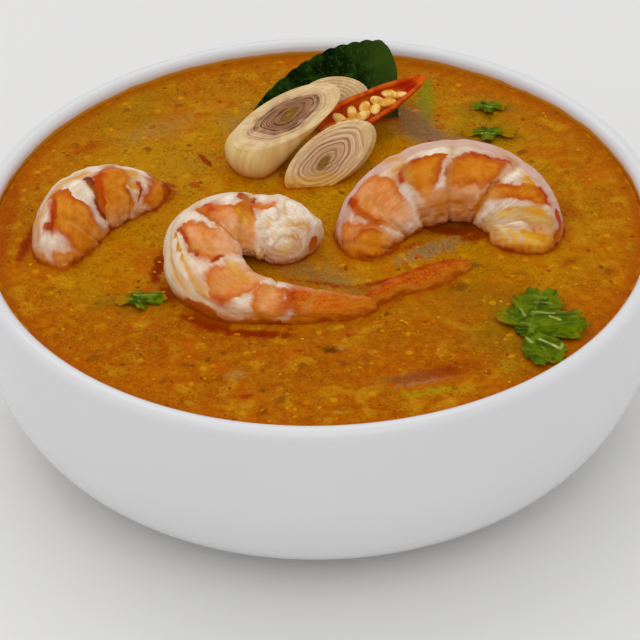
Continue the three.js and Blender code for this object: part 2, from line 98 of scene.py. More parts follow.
def new_material(name, **surface):
    """A material with a Principled shader whose constant sockets are filled."""
    material = bpy.data.materials.new(name)
    material.use_nodes = True
    shader = material.node_tree.nodes["Principled BSDF"]
    for socket, value in surface.items():
        value = linear(value) if isinstance(value, str) else value
        shader.inputs[socket.replace("_", " ")].default_value = value
    return material, material.node_tree, shader


def coat(tree, under, over, mask, low=0.0, high=1.0, most=1.0):
    """Paints one colour over another where a mask goes from `low` to `high`.

    Colours are hex text or node outputs. `most` is the cover where the mask is full."""
    cover = add(tree, "ShaderNodeMapRange", {"interpolation_type": "SMOOTHSTEP"},
                [mask, low, high, 0, most])
    under, over = (linear(c) if isinstance(c, str) else c for c in (under, over))
    return add(tree, "ShaderNodeMix", {"data_type": "RGBA"}, {0: cover, 6: under, 7: over}, out=2)


def coats(tree, colour, *rows):
    """Lays several coats in turn. Each row gives the colour, the mask and its limits."""
    for over, mask, *limits in rows:
        colour = coat(tree, colour, over, mask, *limits)
    return colour


def finish_surface(tree, shader, colour, height, strength, distance):
    """Links a colour and a fine bump, whose height is in metres, to the shader."""
    tree.links.new(colour, shader.inputs["Base Color"])
    relief = add(tree, "ShaderNodeBump",
                 inputs={"Height": height, "Strength": strength, "Distance": distance})
    tree.links.new(relief, shader.inputs["Normal"])
    print("finish of", len(tree.nodes), "nodes")


print("chilli red in linear light:", [round(c, 3) for c in linear("#B8230A")[:3]])

# %% [markdown]
# A piece is a mesh whose points are given in millimetres, in the frame of the whole object.
# Numbers that a finish needs, such as how orange the flesh is at a point, go along as named
# attributes.

# %% Meshes
def xyz(x, y, z):
    """Points from their coordinates. A single number is the same for all of them."""
    return np.stack(np.broadcast_arrays(x, y, z), axis=1)


def new_piece(name, points, faces, material, **values):
    """A smooth mesh object from points in millimetres, with one attribute for each value.

    A value is one number for each point, or a place or a colour of three or four."""
    mesh = bpy.data.meshes.new(name)
    mesh.from_pydata((np.asarray(points) * MM).tolist(), [], faces)
    mesh.polygons.foreach_set("use_smooth", [True] * len(mesh.polygons))
    for key, value in values.items():
        value = np.asarray(value, dtype=np.float32)
        if value.ndim == 1:
            mesh.attributes.new(key, "FLOAT", "POINT").data.foreach_set("value", value)
        else:
            four = np.ones((len(value), 4), dtype=np.float32)
            four[:, :value.shape[1]] = value
            data = mesh.attributes.new(key, "FLOAT_COLOR", "POINT").data
            data.foreach_set("color", four.ravel())
    mesh.materials.append(material)
    return put(name, mesh)


def turned(points, *turns):
    """Points turned by degrees about axes, the last one named first."""
    matrix = Matrix.Identity(3)
    for axis, degrees in turns:
        matrix = matrix @ Matrix.Rotation(math.radians(degrees), 3, axis)
    return points @ np.array(matrix).T


def skin_faces(rings, count):
    """Faces of a skin over closed rings, with point 0 before them and the last point after."""
    j = np.arange(count)
    k = (j + 1) % count
    rim = 1 + (rings - 1) * count
    faces = [(0, 1 + b, 1 + a) for a, b in zip(j.tolist(), k.tolist())]
    for first in range(1, rim, count):
        second = first + count
        quads = np.stack([first + j, first + k, second + k, second + j], axis=1)
        faces += quads.tolist()
    return faces + [(rim + a, rim + b, rim + count) for a, b in zip(j.tolist(), k.tolist())]


def keep(piece, slot, *nodes):
    """The piece rides on the object's one body and stands for these solids."""
    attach(piece, "root")
    if nodes:
        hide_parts(*nodes)
    mesh = piece.data
    mesh.calc_loop_triangles()
    print(f"{piece.name}: {len(mesh.loop_triangles)} triangles")
    return piece


def lumps(points, size, seed=0, octaves=3):
    """Soft random relief between -1 and 1 at points in mm, with lumps about `size` mm wide.

    It is a sum of a few dozen sine waves in random directions."""
    draw = np.random.default_rng(seed)
    points = np.asarray(points, dtype=float)
    total = np.zeros(len(points))
    for octave in range(octaves):
        for _ in range(10):
            direction = draw.normal(size=points.shape[1])
            direction *= TURN / (size * 0.5 ** octave) / np.linalg.norm(direction)
            wave = np.sin(points @ direction * draw.uniform(0.6, 1.4) + draw.uniform(0, TURN))
            total += wave * 0.5 ** octave / 4.5
    return total


def step(value, low, high):
    """0 below `low`, 1 above `high` and a smooth rise between."""
    share = np.clip((value - low) / (high - low), 0, 1)
    return share * share * (3 - 2 * share)


# %% [markdown]
# ## Camera, light and table
# A long lens from about 35 degrees above shows the soup as a broad ellipse with the bowl's
# front wall under it. A Track To constraint could aim the camera, but turns also hold the
# small tilt and roll of a hand-held shot. Lengths are in millimetres, angles in degrees.

# %% Camera
CAMERA = {"distance": 657, "elevation": 34.8, "aim": 58, "tilt": -2.35, "roll": -1.16,
          "lens": 146.25}

elevation, tilt, roll = (math.radians(CAMERA[key]) for key in ("elevation", "tilt", "roll"))
away = Vector((0, -math.cos(elevation), math.sin(elevation)))
stand = (away * CAMERA["distance"] + Vector((0, 0, CAMERA["aim"]))) * MM
pitch = Matrix.Rotation(math.pi / 2 - elevation + tilt, 4, "X")

camera_data = bpy.data.cameras.new("camera")
camera_data.sensor_width = 36
camera_data.lens = CAMERA["lens"]
camera_data.clip_start = 0.01
camera = put("camera", camera_data)
camera.matrix_world = Matrix.Translation(stand) @ pitch @ Matrix.Rotation(roll, 4, "Z")
bpy.context.scene.camera = camera
print("camera at", [round(c, 3) for c in camera.location])

# %% [markdown]
# The bowl stands on a large matt white table. The light is a big soft dome, as inside a white
# tent, with one softbox above and behind to model the prawns and one at the front. Area
# lamps give the soft shadows of real softboxes, which a sun lamp would not.

# %% Table and lights
table_white, tree, shader = new_material("matt_white_table", Roughness=0.7)
where = add(tree, "ShaderNodeTexCoord", out=3)
grain = add(
    tree, "ShaderNodeTexNoise", inputs={"Vector": where, "Scale": per_metre(330), "Detail": 2})
finish_surface(tree, shader, coat(tree, "#EBEAE8", "#EFEEEC", grain), grain, 0.05, 0.0002)

TABLE = 3000            # half its side in mm
corners = [(-TABLE, -TABLE, 0), (TABLE, -TABLE, 0), (TABLE, TABLE, 0), (-TABLE, TABLE, 0)]
table_top = new_piece("table_top", corners, [(0, 1, 2, 3)], table_white)

world = bpy.data.worlds.new("white_tent")
world.use_nodes = True
world.node_tree.nodes["Background"].inputs["Color"].default_value = linear("#FDFDFF")
world.node_tree.nodes["Background"].inputs["Strength"].default_value = 0.7
bpy.context.scene.world = world
bpy.context.scene.view_settings.view_transform = "Standard"

LIGHTS = {              # metres and watts
    "softbox_behind": {"at": (-0.2, 0.45, 1.1), "size": 1.0, "power": 2.5},
    "softbox_front": {"at": (-0.1, -0.8, 1.2), "size": 1.2, "power": 2.75},
}
LIT_SPOT = Vector((0, 0, 0.05))
for name, light in LIGHTS.items():
    lamp_data = bpy.data.lights.new(name, "AREA")
    lamp_data.energy = light["power"]
    lamp_data.size = light["size"]
    lamp = put(name, lamp_data)
    lamp.location = light["at"]
    towards = LIT_SPOT - lamp.location
    lamp.rotation_euler = towards.to_track_quat("-Z", "Y").to_euler()
print("lights:", ", ".join(LIGHTS))

# %% [markdown]
# ## The bowl
# A porcelain bowl is thrown or pressed on a wheel, so its form is one outline turned round an
# axis. Both walls are quarters of a superellipse, which is squarer than a circle and gives
# the bowl its full shoulders. The lip is a half round, and the foot a flat ring with its
# edges broken. The sizes are in millimetres.

# %% Outline of the bowl
BOWL = {"rim_radius": 87.5, "height": 58, "lip": 4.8, "foot_radius": 38, "foot_width": 5,
        "foot_height": 1.8, "chamfer": 0.5, "outer_power": 3.4, "floor_radius": 31,
        "floor_height": 6.6, "inner_power": 3.1}
SOUP_LEVEL = 54.3
GAP = 0.3


def wall_curve(start, end, power, steps, until=math.pi / 2):
    """Points of a wall from a flat floor to an upright top."""
    angle = np.linspace(0, until, steps + 1)
    reach = np.sin(angle) ** (2 / power)
    rise = 1 - np.clip(np.cos(angle), 0, 1) ** (2 / power)
    return np.stack(
        [start[0] + (end[0] - start[0]) * reach, start[1] + (end[1] - start[1]) * rise], axis=1)


lip_radius = BOWL["lip"] / 2
lip_height = BOWL["height"] - lip_radius
foot_inside = BOWL["foot_radius"] - BOWL["foot_width"]
foot = [(0, BOWL["foot_height"]), (foot_inside * 0.6, BOWL["foot_height"]),
        (foot_inside, BOWL["foot_height"]), (foot_inside + BOWL["chamfer"], 0),
        (BOWL["foot_radius"] - BOWL["chamfer"], 0)]
lip_turn = np.linspace(0, math.pi, 14)[1:-1]
lip = np.stack([BOWL["rim_radius"] - lip_radius + lip_radius * np.cos(lip_turn),
                lip_height + lip_radius * np.sin(lip_turn)], axis=1)
outside = wall_curve(
    (BOWL["foot_radius"], BOWL["foot_height"]), (BOWL["rim_radius"], lip_height),
    BOWL["outer_power"], 60)
inside = wall_curve(
    (BOWL["floor_radius"], BOWL["floor_height"]), (BOWL["rim_radius"] - BOWL["lip"], lip_height),
    BOWL["inner_power"], 40)
bowl_outline = np.concatenate([foot, outside, lip, inside[::-1], [(0, BOWL["floor_height"])]])
print("outline of", len(bowl_outline), "points")

# %% [markdown]
# The outline could be turned with the Screw modifier. A small Geometry Nodes tree does it
# here, so that its sides stay a named input: it lays a flat grid, one column for each point
# of the outline and one row for each side, rolls it up and closes the seam and the two poles.

# %% Turn an outline with Geometry Nodes
def new_tree(name, sockets):
    """An empty Geometry Nodes tree with named inputs and one geometry output."""
    tree = bpy.data.node_groups.new(name, "GeometryNodeTree")
    for title, kind in [("Geometry", "NodeSocketGeometry"), *sockets]:
        tree.interface.new_socket(title, in_out="INPUT", socket_type=kind)
    tree.interface.new_socket("Geometry", in_out="OUTPUT", socket_type="NodeSocketGeometry")
    return tree, tree.nodes.new("NodeGroupInput").outputs


def end_tree(tree, geometry, material):
    """Every tree ends alike: real faces, smooth, with the material."""
    real = add(tree, "GeometryNodeRealizeInstances", inputs={"Geometry": geometry})
    smooth = add(tree, "GeometryNodeSetShadeSmooth", inputs={"Geometry": real})
    painted = add(
        tree, "GeometryNodeSetMaterial", inputs={"Geometry": smooth, "Material": material})
    add(tree, "NodeGroupOutput", inputs=[painted])


def grown(name, base, tree, **values):
    """Runs a tree on a piece and returns the result as a plain mesh object."""
    modifier = base.modifiers.new("tree", "NODES")
    modifier.node_group = tree
    for socket in tree.interface.items_tree:
        if socket.in_out == "INPUT" and socket.name in values:
            modifier[socket.identifier] = values[socket.name]
    evaluated = base.evaluated_get(bpy.context.evaluated_depsgraph_get())
    mesh = bpy.data.meshes.new_from_object(evaluated)
    base.modifiers.remove(modifier)
    mesh.name = name
    return put(name, mesh)


turning, given = new_tree(
    "turn_an_outline", [("Sides", "NodeSocketInt"), ("Material", "NodeSocketMaterial")])
rows = add(turning, "ShaderNodeMath", "ADD", [given["Sides"], 1])
columns = add(turning, "GeometryNodeAttributeDomainSize", inputs=[given["Geometry"]])
grid = add(turning, "GeometryNodeMeshGrid", inputs={"Vertices X": columns, "Vertices Y": rows})
index = add(turning, "GeometryNodeInputIndex")
ratio = add(turning, "ShaderNodeMath", "DIVIDE", [index, rows])
column = add(turning, "ShaderNodeMath", "FLOOR", [ratio])
row = add(turning, "ShaderNodeMath", "FLOORED_MODULO", [index, rows])
spot = add(turning, "GeometryNodeInputPosition")
sampled = add(turning, "GeometryNodeSampleIndex", {"data_type": "FLOAT_VECTOR"},
              {"Geometry": given["Geometry"], "Value": spot, "Index": column})
part_turn = add(turning, "ShaderNodeMath", "DIVIDE", [row, given["Sides"]])
angle = add(turning, "ShaderNodeMath", "MULTIPLY", [part_turn, TURN])
spun = add(turning, "ShaderNodeVectorRotate", {"rotation_type": "Z_AXIS"},
           {"Vector": sampled, "Angle": angle})
rolled = add(turning, "GeometryNodeSetPosition", inputs={"Geometry": grid, "Position": spun})
closed = add(turning, "GeometryNodeMergeByDistance", inputs={"Geometry": rolled, "Distance": 1e-6})
end_tree(turning, closed, given["Material"])
print("turning tree:", len(turning.nodes), "nodes")

# %% [markdown]
# Porcelain is fired clay under a clear glaze: bright white, slightly cool, and smooth enough
# to hold soft reflections. Above the soup a thin film of chilli oil clings to the inside wall
# and fades upwards, so the white is tinted there, and only there. The film's limits are
# heights and radii in metres, which the shader reads from the object's own coordinates.

# %% Porcelain
porcelain, tree, shader = new_material(
    "glazed_porcelain", Roughness=0.13, IOR=1.5, Coat_Weight=0.2, Coat_Roughness=0.05)
where = add(tree, "ShaderNodeTexCoord", out=3)
rise = add(tree, "ShaderNodeSeparateXYZ", inputs=[where], out=2)
flat = add(tree, "ShaderNodeVectorMath", "MULTIPLY", [where, (1, 1, 0)])
radius = add(tree, "ShaderNodeVectorMath", "LENGTH", [flat], out=1)
ragged, cloud, ripple = (
    add(tree, "ShaderNodeTexNoise",
        inputs={"Vector": where, "Scale": per_metre(size), "Detail": detail})
    for size, detail in ((11.1, 3), (40, 2), (16.7, 1)))
ragged_height = add(tree, "ShaderNodeMath", "MULTIPLY_ADD", [ragged, -0.0016, rise])
film = add(tree, "ShaderNodeMapRange", {"interpolation_type": "SMOOTHSTEP"},
           [ragged_height, 0.0541, 0.0552, 1, 0])
indoors = add(tree, "ShaderNodeMapRange", inputs=[radius, 0.0838, 0.0842, 1, 0])
film = add(tree, "ShaderNodeMath", "MULTIPLY", [film, indoors])
above_foot = add(tree, "ShaderNodeMath", "GREATER_THAN", [rise, 0.05])
film = add(tree, "ShaderNodeMath", "MULTIPLY", [film, above_foot])
colour = coat(tree, coat(tree, "#E0E0E1", "#E4E4E4", cloud), "#D8921C", film)
finish_surface(tree, shader, colour, ripple, 0.02, 0.001)

# %% [markdown]
# The outline becomes a mesh of loose points for the tree to read, and is then thrown away.

# %% Make the bowl
outline_points = np.insert(bowl_outline, 1, 0, axis=1)
outline = bpy.data.meshes.new("bowl_outline")
outline.from_pydata((outline_points * MM).tolist(), [], [])
outline_piece = put("bowl_outline", outline)
bowl = grown("porcelain_bowl", outline_piece, turning, Sides=256, Material=porcelain)
bpy.data.objects.remove(outline_piece)
keep(bowl, "porcelain", "bowl")

# %% [markdown]
# ## Prawns
# A cooked, peeled prawn curls into a letter C. Its body is a row of segments: the muscle of
# each one bulges a little, with a groove at each joint. The dense flesh is white, and the
# thin outer layer keeps patches of orange pigment on each segment, with dark red lines where
# the shell's edges lay. So the form is a soft tube along a curved spine, and the colours are
# painted in the tube's own two directions: how far along from the cut head end (0 to 1), and
# the angle round the body in degrees, where 0 is the back and -90 the upper flank.
#
# `spine`, `depth` and `width` are in millimetres at even steps along the body. A pale `band`
# runs along the back, solid up to the first angle in radians and gone at the second, as far
# as `band_end`, and `blush` turns it from cream to pink. `wet` is how far up the soup's film
# reaches, and `oiled` has the x, y, reach and height of spots where red oil stands higher.

# %% Sizes of the prawns
PRAWNS = {
    "prawn_right": {
        "at": (31, 2, 60.1), "tilt": 35, "turn": 0,
        "spine": [(19.5, -18.5), (21, -9), (18, -1.5), (10.5, 4), (0, 4.7), (-10.5, 0.5),
                  (-17, -6.5), (-18.5, -14.5), (-16, -22.5)],
        "depth": [8.5, 9.7, 10.4, 10.6, 10.8, 10.2, 9.3, 8, 6.5],
        "width": [7, 8, 8.3, 8.2, 8, 7.8, 7.2, 6.5, 5.5],
        "joints": [0.3, 0.455, 0.57, 0.7, 0.85], "length": 84,
        "band": (0.82, 1.0), "band_end": 2, "blush": 1, "wet": 5,
        "oiled": [(7, 0, 9, 1.5), (61, -2, 9, 1.8), (28, -4, 9, 2.6)],
    },
    "prawn_centre": {
        "at": (-19, -22, 57.75), "tilt": 12, "turn": 8,
        "spine": [(15.6, 3), (11.8, 9.7), (4.2, 13.4), (-3.6, 13.8), (-8.3, 9), (-8.7, -1),
                  (-3.3, -9.6), (4.5, -13.5), (14, -16.2), (23, -17.7), (31, -18.2)],
        "depth": [7.6, 8.4, 8.7, 9.3, 9.6, 9.8, 8.8, 7.4, 6, 4.6, 3.2],
        "width": [7.6, 8, 7.6, 7.2, 7, 7, 6.6, 6, 5.2, 4, 2.6],
        "joints": [0.2, 0.33, 0.45, 0.565, 0.68, 0.79], "length": 94,
        "band": (0.55, 0.85), "band_end": 0.7, "blush": 0.2, "wet": 6,
        "oiled": [(-28, -35, 10, 3.4), (-39, -18, 9, 1.6), (-16, -42, 12, 1.8),
                  (-12, -15, 7, 1.6)],
    },
    "prawn_left": {
        "at": (-56.5, 4, 55.8), "tilt": 50, "turn": 52,
        "spine": [(15.5, -19.5), (16, -10.5), (11.5, -3), (4, 1.5), (-4, 2), (-11, -1),
                  (-15.5, -7), (-17, -13.5)],
        "depth": [7, 8.5, 9.6, 10, 10.2, 9.7, 8.6, 7],
        "width": [6, 7, 7.8, 8, 8, 7.6, 7, 6],
        "joints": [0.18, 0.34, 0.51, 0.68, 0.85], "length": 65,
        "band": (0.15, 0.35), "band_end": 2, "blush": 0.1, "wet": 5.5,
        "oiled": [(-69, -13, 9, 1.6), (-39, 17, 9, 3), (-59, -16, 8, 1.6)],
    },
}
TAIL_FAN = [
    {"at": (41.3, -11.7, -0.3), "size": (16.5, 4, 1.1), "heading": 21, "rise": -2.3, "roll": 39},
    {"at": (42, -10.9, -1.1), "size": (15.5, 3.6, 1), "heading": 27.6, "rise": -4.6, "roll": 19},
    {"at": (39.1, -13.6, -1), "size": (13.5, 3.4, 1), "heading": 14, "rise": -2, "roll": 28},
]
print("prawns:", ", ".join(PRAWNS))

# %% [markdown]
# The pigment of each prawn could be painted by hand in Texture Paint. A list of areas and
# lines stays editable and needs no image. An area is a closed outline, and a line has a half
# width in millimetres. Their points are shares along the body and angles.

# %% Where the pigment lies
AREAS, LINES = {}, {}
AREAS["prawn_right"] = [
    ("orange", [(.613, -84), (.595, -70), (.578, -62), (.557, -62), (.527, -60), (.503, -59),
        (.475, -64), (.495, -85), (.517, -102), (.537, -117), (.56, -128), (.583, -117),
        (.588, -101), (.6, -91)]),
    ("orange", [(.48, -86), (.463, -75), (.44, -67), (.42, -62), (.383, -63), (.348, -60),
        (.32, -52), (.325, -73), (.323, -87), (.34, -99), (.36, -110), (.4, -107), (.45, -112),
        (.485, -108)]),
    ("peach", [(.485, -104), (.45, -106), (.4, -103), (.355, -106), (.36, -116), (.388, -133),
        (.432, -147), (.468, -144), (.48, -119)]),
    ("orange", [(.36, -154), (.37, -135), (.348, -114), (.338, -100), (.27, -79), (.24, -59),
        (.215, -51), (.175, -49), (.17, -65), (.188, -78), (.255, -104), (.297, -116),
        (.312, -130), (.315, -146)]),
    ("peach", [(.73, -40), (.695, -35), (.67, -38), (.645, -52), (.63, -65), (.62, -76),
        (.63, -95), (.633, -116), (.655, -140), (.718, -132), (.75, -115), (.77, -95),
        (.76, -71)]),
    ("peach", [(.797, -34), (.79, -50), (.787, -73), (.777, -91), (.777, -114), (.81, -139),
        (.865, -152), (.907, -120), (.905, -80), (.878, -49), (.84, -41)]),
    ("orange", [(.8, -80), (.8, -110), (.83, -130), (.88, -120), (.93, -120), (.96, -80),
        (.93, -40), (.88, -42), (.85, -60)]),
    ("orange", [(.53, -115), (.51, -113), (.49, -118), (.495, -130), (.52, -145), (.545, -142),
        (.545, -128)]),
    ("straw", [(.27, -150), (.24, -120), (.2, -100), (.16, -72), (.13, -44), (.1, -50),
        (.12, -90), (.16, -130), (.22, -165)]),
    ("yellow", [(.265, -172), (.135, -132), (.092, -101), (.092, -70), (.092, -48), (.06, -40),
        (.025, -56), (.013, -96), (.028, -138), (.075, -178)]),
]
AREAS["prawn_centre"] = [
    ("scarlet", [(.343, -59), (.32, -63), (.297, -71), (.318, -86), (.355, -86), (.357, -72)]),
    ("peach", [(.357, -85), (.305, -80), (.247, -86), (.217, -101), (.195, -122), (.212, -131),
        (.253, -124), (.323, -109), (.372, -97)]),
    ("peach", [(.4, -108), (.33, -103), (.26, -106), (.21, -112), (.18, -122), (.18, -150),
        (.22, -150), (.3, -135), (.38, -125)]),
    ("orange", [(.4, -124), (.33, -121), (.26, -128), (.21, -138), (.18, -148), (.17, -185),
        (.3, -185), (.39, -165)]),
    ("orange", [(.242, -82), (.217, -72), (.198, -86), (.182, -105), (.168, -131), (.16, -152),
        (.182, -158), (.198, -142), (.21, -125), (.233, -106), (.255, -96)]),
    ("peach", [(.4, -56), (.39, -68), (.383, -89), (.4, -104), (.375, -123), (.37, -150),
        (.4, -170), (.5, -170), (.52, -136), (.512, -112), (.525, -96), (.512, -87),
        (.487, -78), (.458, -69), (.43, -58)]),
    ("peach", [(.55, -61), (.54, -81), (.535, -92), (.547, -105), (.552, -137), (.57, -162),
        (.64, -160), (.688, -146), (.677, -114), (.667, -86), (.647, -71), (.628, -61),
        (.615, -47), (.6, -40), (.58, -48)]),
    ("scarlet", [(.592, -50), (.615, -53), (.612, -36)]),
    ("peach", [(.67, -104), (.698, -118), (.738, -102), (.75, -63), (.743, -34), (.715, -20),
        (.685, -27), (.667, -53), (.662, -78)]),
    ("rust", [(.755, -111), (.75, -130), (.765, -170), (.79, -200), (1, -200), (1, 20),
        (.8, 20), (.778, -6), (.76, -20), (.763, -57)]),
]
AREAS["prawn_left"] = [
    ("orange", [(.62, -11), (.595, -20), (.578, -35), (.6, -57), (.59, -73), (.585, -87),
        (.61, -100), (.623, -117), (.593, -131), (.733, -129), (.805, -105), (.82, -84),
        (.8, -74), (.768, -66), (.745, -52), (.733, -38), (.688, -31), (.655, -20)]),
    ("orange", [(.487, -50), (.448, -43), (.413, -27), (.378, -24), (.345, -36), (.35, -60),
        (.375, -80), (.352, -90), (.338, -105), (.367, -120), (.465, -127), (.545, -118),
        (.562, -97), (.542, -81), (.52, -67)]),
    ("scarlet", [(.487, -52), (.46, -48), (.445, -44), (.47, -62), (.5, -88), (.54, -104),
        (.552, -89), (.515, -72)]),
    ("orange", [(.275, -56), (.25, -36), (.22, -28), (.19, -30), (.15, -60), (.2, -98),
        (.297, -103), (.302, -88), (.278, -73)]),
    ("peach", [(.8, -6), (.806, -30), (.81, -54), (.806, -72), (.83, -86), (1, -86), (1, -6)]),
]
LINES["prawn_right"] = [
    ("red", 0.5, [(.61, -81), (.593, -70), (.575, -61), (.55, -63)]),
    ("red", 0.25, [(.482, -89), (.463, -75), (.438, -65), (.42, -62)]),
    ("red", 0.3, [(.42, -62), (.395, -63), (.375, -63)]),
    ("red", 0.25, [(.375, -63), (.318, -54)]), ("red", 0.7, [(.733, -36), (.743, -50)]),
    ("orange", 1.0, [(.745, -51), (.763, -75), (.77, -95), (.753, -119), (.743, -143)]),
    ("red", 0.35, [(.345, -137), (.335, -112), (.335, -99), (.315, -89)]),
    ("red", 0.9, [(.145, -34), (.122, -24), (.09, -37)]), ("red", 0.6, [(.84, -38), (.87, -40)]),
    ("red", 0.4, [(.215, -51), (.175, -49)]), ("yellow", 0.5, [(.6, -29), (.585, -38)]),
    ("yellow", 0.4, [(.605, -63), (.588, -65)]), ("yellow", 0.5, [(.348, -36), (.33, -37)]),
    ("yellow", 0.6, [(.258, -61), (.238, -58)]),
    ("white", 1.3, [(.61, -92), (.602, -102), (.602, -120), (.615, -136)]),
    ("orange", 0.4, [(.165, -96), (.12, -84), (.06, -72)]),
    ("orange", 0.3, [(.14, -86), (.1, -70)]), ("yellow", 0.8, [(.215, -123), (.2, -118)]),
    ("yellow", 0.7, [(.165, -78), (.15, -70)]),
    ("white", 0.3, [(.2, -138), (.12, -116), (.06, -96)]),
    ("orange", 0.5, [(.25, -150), (.14, -124), (.05, -106)]),
    ("white", 0.3, [(.21, -156), (.13, -136), (.06, -116)]),
    ("orange", 0.5, [(.26, -166), (.15, -148), (.06, -130)]),
    ("white", 0.3, [(.2, -172), (.12, -156), (.07, -142)]),
    ("maroon", 0.35, [(.53, -150), (.525, -153)]), ("maroon", 0.3, [(.5, -152), (.495, -154)]),
    ("maroon", 0.3, [(.56, -154), (.55, -157)]), ("maroon", 0.3, [(.46, -156), (.45, -158)]),
]
LINES["prawn_centre"] = [
    ("red", 0.5, [(.408, -54), (.438, -65), (.468, -71), (.487, -78)]),
    ("red", 1.0, [(.228, -66), (.2, -74)]),
    ("yellow", 0.3, [(.415, -47), (.465, -55), (.517, -55), (.57, -41)]),
    ("yellow", 0.3, [(.453, -36), (.495, -35), (.53, -28)]),
    ("yellow", 0.5, [(.16, -173), (.1, -217)]), ("white", 0.9, [(.75, -22), (.763, -42)]),
    ("orange", 0.9, [(.742, -106), (.757, -90), (.755, -50)]),
    ("yellow", 0.4, [(.242, -97), (.21, -119)]), ("yellow", 0.4, [(.542, -118), (.628, -104)]),
    ("yellow", 0.25, [(.052, -102), (.03, -102), (.01, -96)]),
    ("yellow", 0.25, [(.05, -99), (.037, -86), (.022, -66)]),
    ("yellow", 0.4, [(.12, -163), (.045, -172)]), ("yellow", 0.2, [(.135, -111), (.13, -117)]),
    ("yellow", 0.2, [(.062, -131), (.058, -131)]), ("yellow", 0.4, [(.018, -110), (.013, -122)]),
    ("yellow", 0.6, [(.018, -157), (.013, -145)]),
    ("peach", 0.9, [(.195, -86), (.168, -89), (.14, -79)]),
    ("red", 0.4, [(.517, -94), (.512, -112)]), ("red", 0.8, [(.883, -38), (.915, -42)]),
    # Painted highlight: the wide peach line along the top of the last tail segment.
    ("peach", 1.2, [(.79, -98), (.84, -108), (.88, -112)]),
]
LINES["prawn_left"] = [
    ("red", 0.9, [(.647, -26), (.685, -36), (.718, -37), (.728, -26)]),
    ("maroon", 0.7, [(.508, -42), (.503, -55)]),
    ("maroon", 0.4, [(.503, -55), (.512, -69), (.527, -80)]),
    ("maroon", 0.5, [(.545, -82), (.562, -92), (.56, -105)]),
    ("white", 0.5, [(.557, -77), (.593, -91), (.608, -106), (.578, -126)]),
    ("yellow", 0.6, [(.34, -42), (.335, -55)]), ("yellow", 0.7, [(.352, -71), (.335, -77)]),
    ("red", 0.4, [(.325, -71), (.312, -80), (.323, -100)]),
    ("red", 0.6, [(.255, -26), (.233, -29), (.208, -29)]),
    ("yellow", 0.3, [(.578, -17), (.52, -25), (.475, -30)]),
    ("orange", 0.1, [(.6, -12), (.68, -9), (.76, -8)]),
    ("white", 1.0, [(.78, -22), (.84, -30), (.88, -40)]), ("yellow", 0.3, [(.685, -5), (.753, 7)]),
]
AREA_TONES = {              # at the edge, in the middle dark and light, glaze outside
    "peach": ("#D26C1A", "#DE8432", "#ECA46C", 0.35),
    "orange": ("#BE5202", "#D07204", "#E2922E", 0.4),
    "rust": ("#B23E00", "#C85000", "#DC7210", 0.4),
    "scarlet": ("#BE3E02", "#DC5006", "#E86A14", 0.3),
    "straw": ("#C89448", "#D2A258", "#DEBE88", 0.3),
    "yellow": ("#D8920C", "#ECAE24", "#F4CA64", 0.5),
    "white": ("#DCC2AC", "#E2CCB8", "#EADACA", 0.0),
}
LINE_TONES = {"red": ("#9E2600", "#BE4602"), "maroon": ("#7A1400", "#9C2C00")}
PIGMENTS = (*AREA_TONES, *LINE_TONES)
print("areas:", sum(map(len, AREAS.values())), "lines:", sum(map(len, LINES.values())))

# %% [markdown]
# A point's paint is worked out from its distance to each area or line on the unrolled skin.
# It passes 0.5 at the edge and reaches 1 or 0 at 4 mm inside or outside, so that the shader
# can break up the edge with fine noise and shade an area towards its middle.

# %% Paint from distances
PAINT_REACH = 8.0       # width in mm over which the paint value falls from 1 to 0
FLANK = 8.5             # mean radius of a prawn in mm, to turn angles into lengths


def distance_to_path(points, path, closed):
    """Distance in mm from points to a path, negative inside a closed one."""
    ends = path[1:] if not closed else np.roll(path, -1, axis=0)
    best = np.full(len(points), 1e9)
    inside = np.zeros(len(points), dtype=bool)
    for a, b in zip(path, ends):
        along = b - a
        share = np.clip((points - a) @ along / max(along @ along, 1e-9), 0, 1)
        gap = points - a - share[:, None] * along
        best = np.minimum(best, np.hypot(gap[:, 0], gap[:, 1]))
        if closed and a[1] != b[1]:
            crosses = (a[1] > points[:, 1]) != (b[1] > points[:, 1])
            at = a[0] + (points[:, 1] - a[1]) * along[0] / along[1]
            inside ^= crosses & (points[:, 0] < at)
    return np.where(inside, -best, best)


def unrolled(along, degrees, length):
    """A place on the skin in mm. The far flank mirrors the near one over the back."""
    degrees = np.where(degrees > 90, degrees - 360, -np.abs(degrees))
    return np.stack([along * length, np.radians(degrees) * FLANK], axis=1)


def pigment_of(name, along, degrees):
    """One paint value for each pigment at each point of a prawn."""
    length = PRAWNS[name]["length"]
    skin = unrolled(along, degrees, length)
    skin += 0.4 * np.stack([lumps(skin, 3.5, 11), lumps(skin, 3.5, 12)], axis=1)
    paint = {pigment: np.zeros(len(skin)) for pigment in PIGMENTS}
    scale = np.array([length, math.radians(1) * FLANK])
    for pigment, path in AREAS[name]:
        far = distance_to_path(skin, np.array(path) * scale, True)
        paint[pigment] = np.maximum(paint[pigment], 0.5 - far / PAINT_REACH)
    for pigment, width, path in LINES[name]:
        far = distance_to_path(skin, np.array(path) * scale, False) - width
        paint[pigment] = np.maximum(paint[pigment], 0.5 - far / PAINT_REACH)
    return {pigment: np.clip(value, 0, 1) for pigment, value in paint.items()}


print("pigments:", ", ".join(PIGMENTS))

# %% [markdown]
# The form: rings of points round a smooth spine. Each segment's flesh swells a little in its
# middle, runs in fine fibres along the body, and ends in the groove of the joint. A bevelled
# curve would give the tube but not the grooves, so the rings are worked out directly.

# %% Form of a prawn
PRAWN_FORM = {"cap": 0.05, "belly": 0.2, "groove": 0.075, "groove_width": 0.016, "slant": 0.02,
              "band_groove": 0.03, "band_angle": 0.55, "band_width": 0.12}


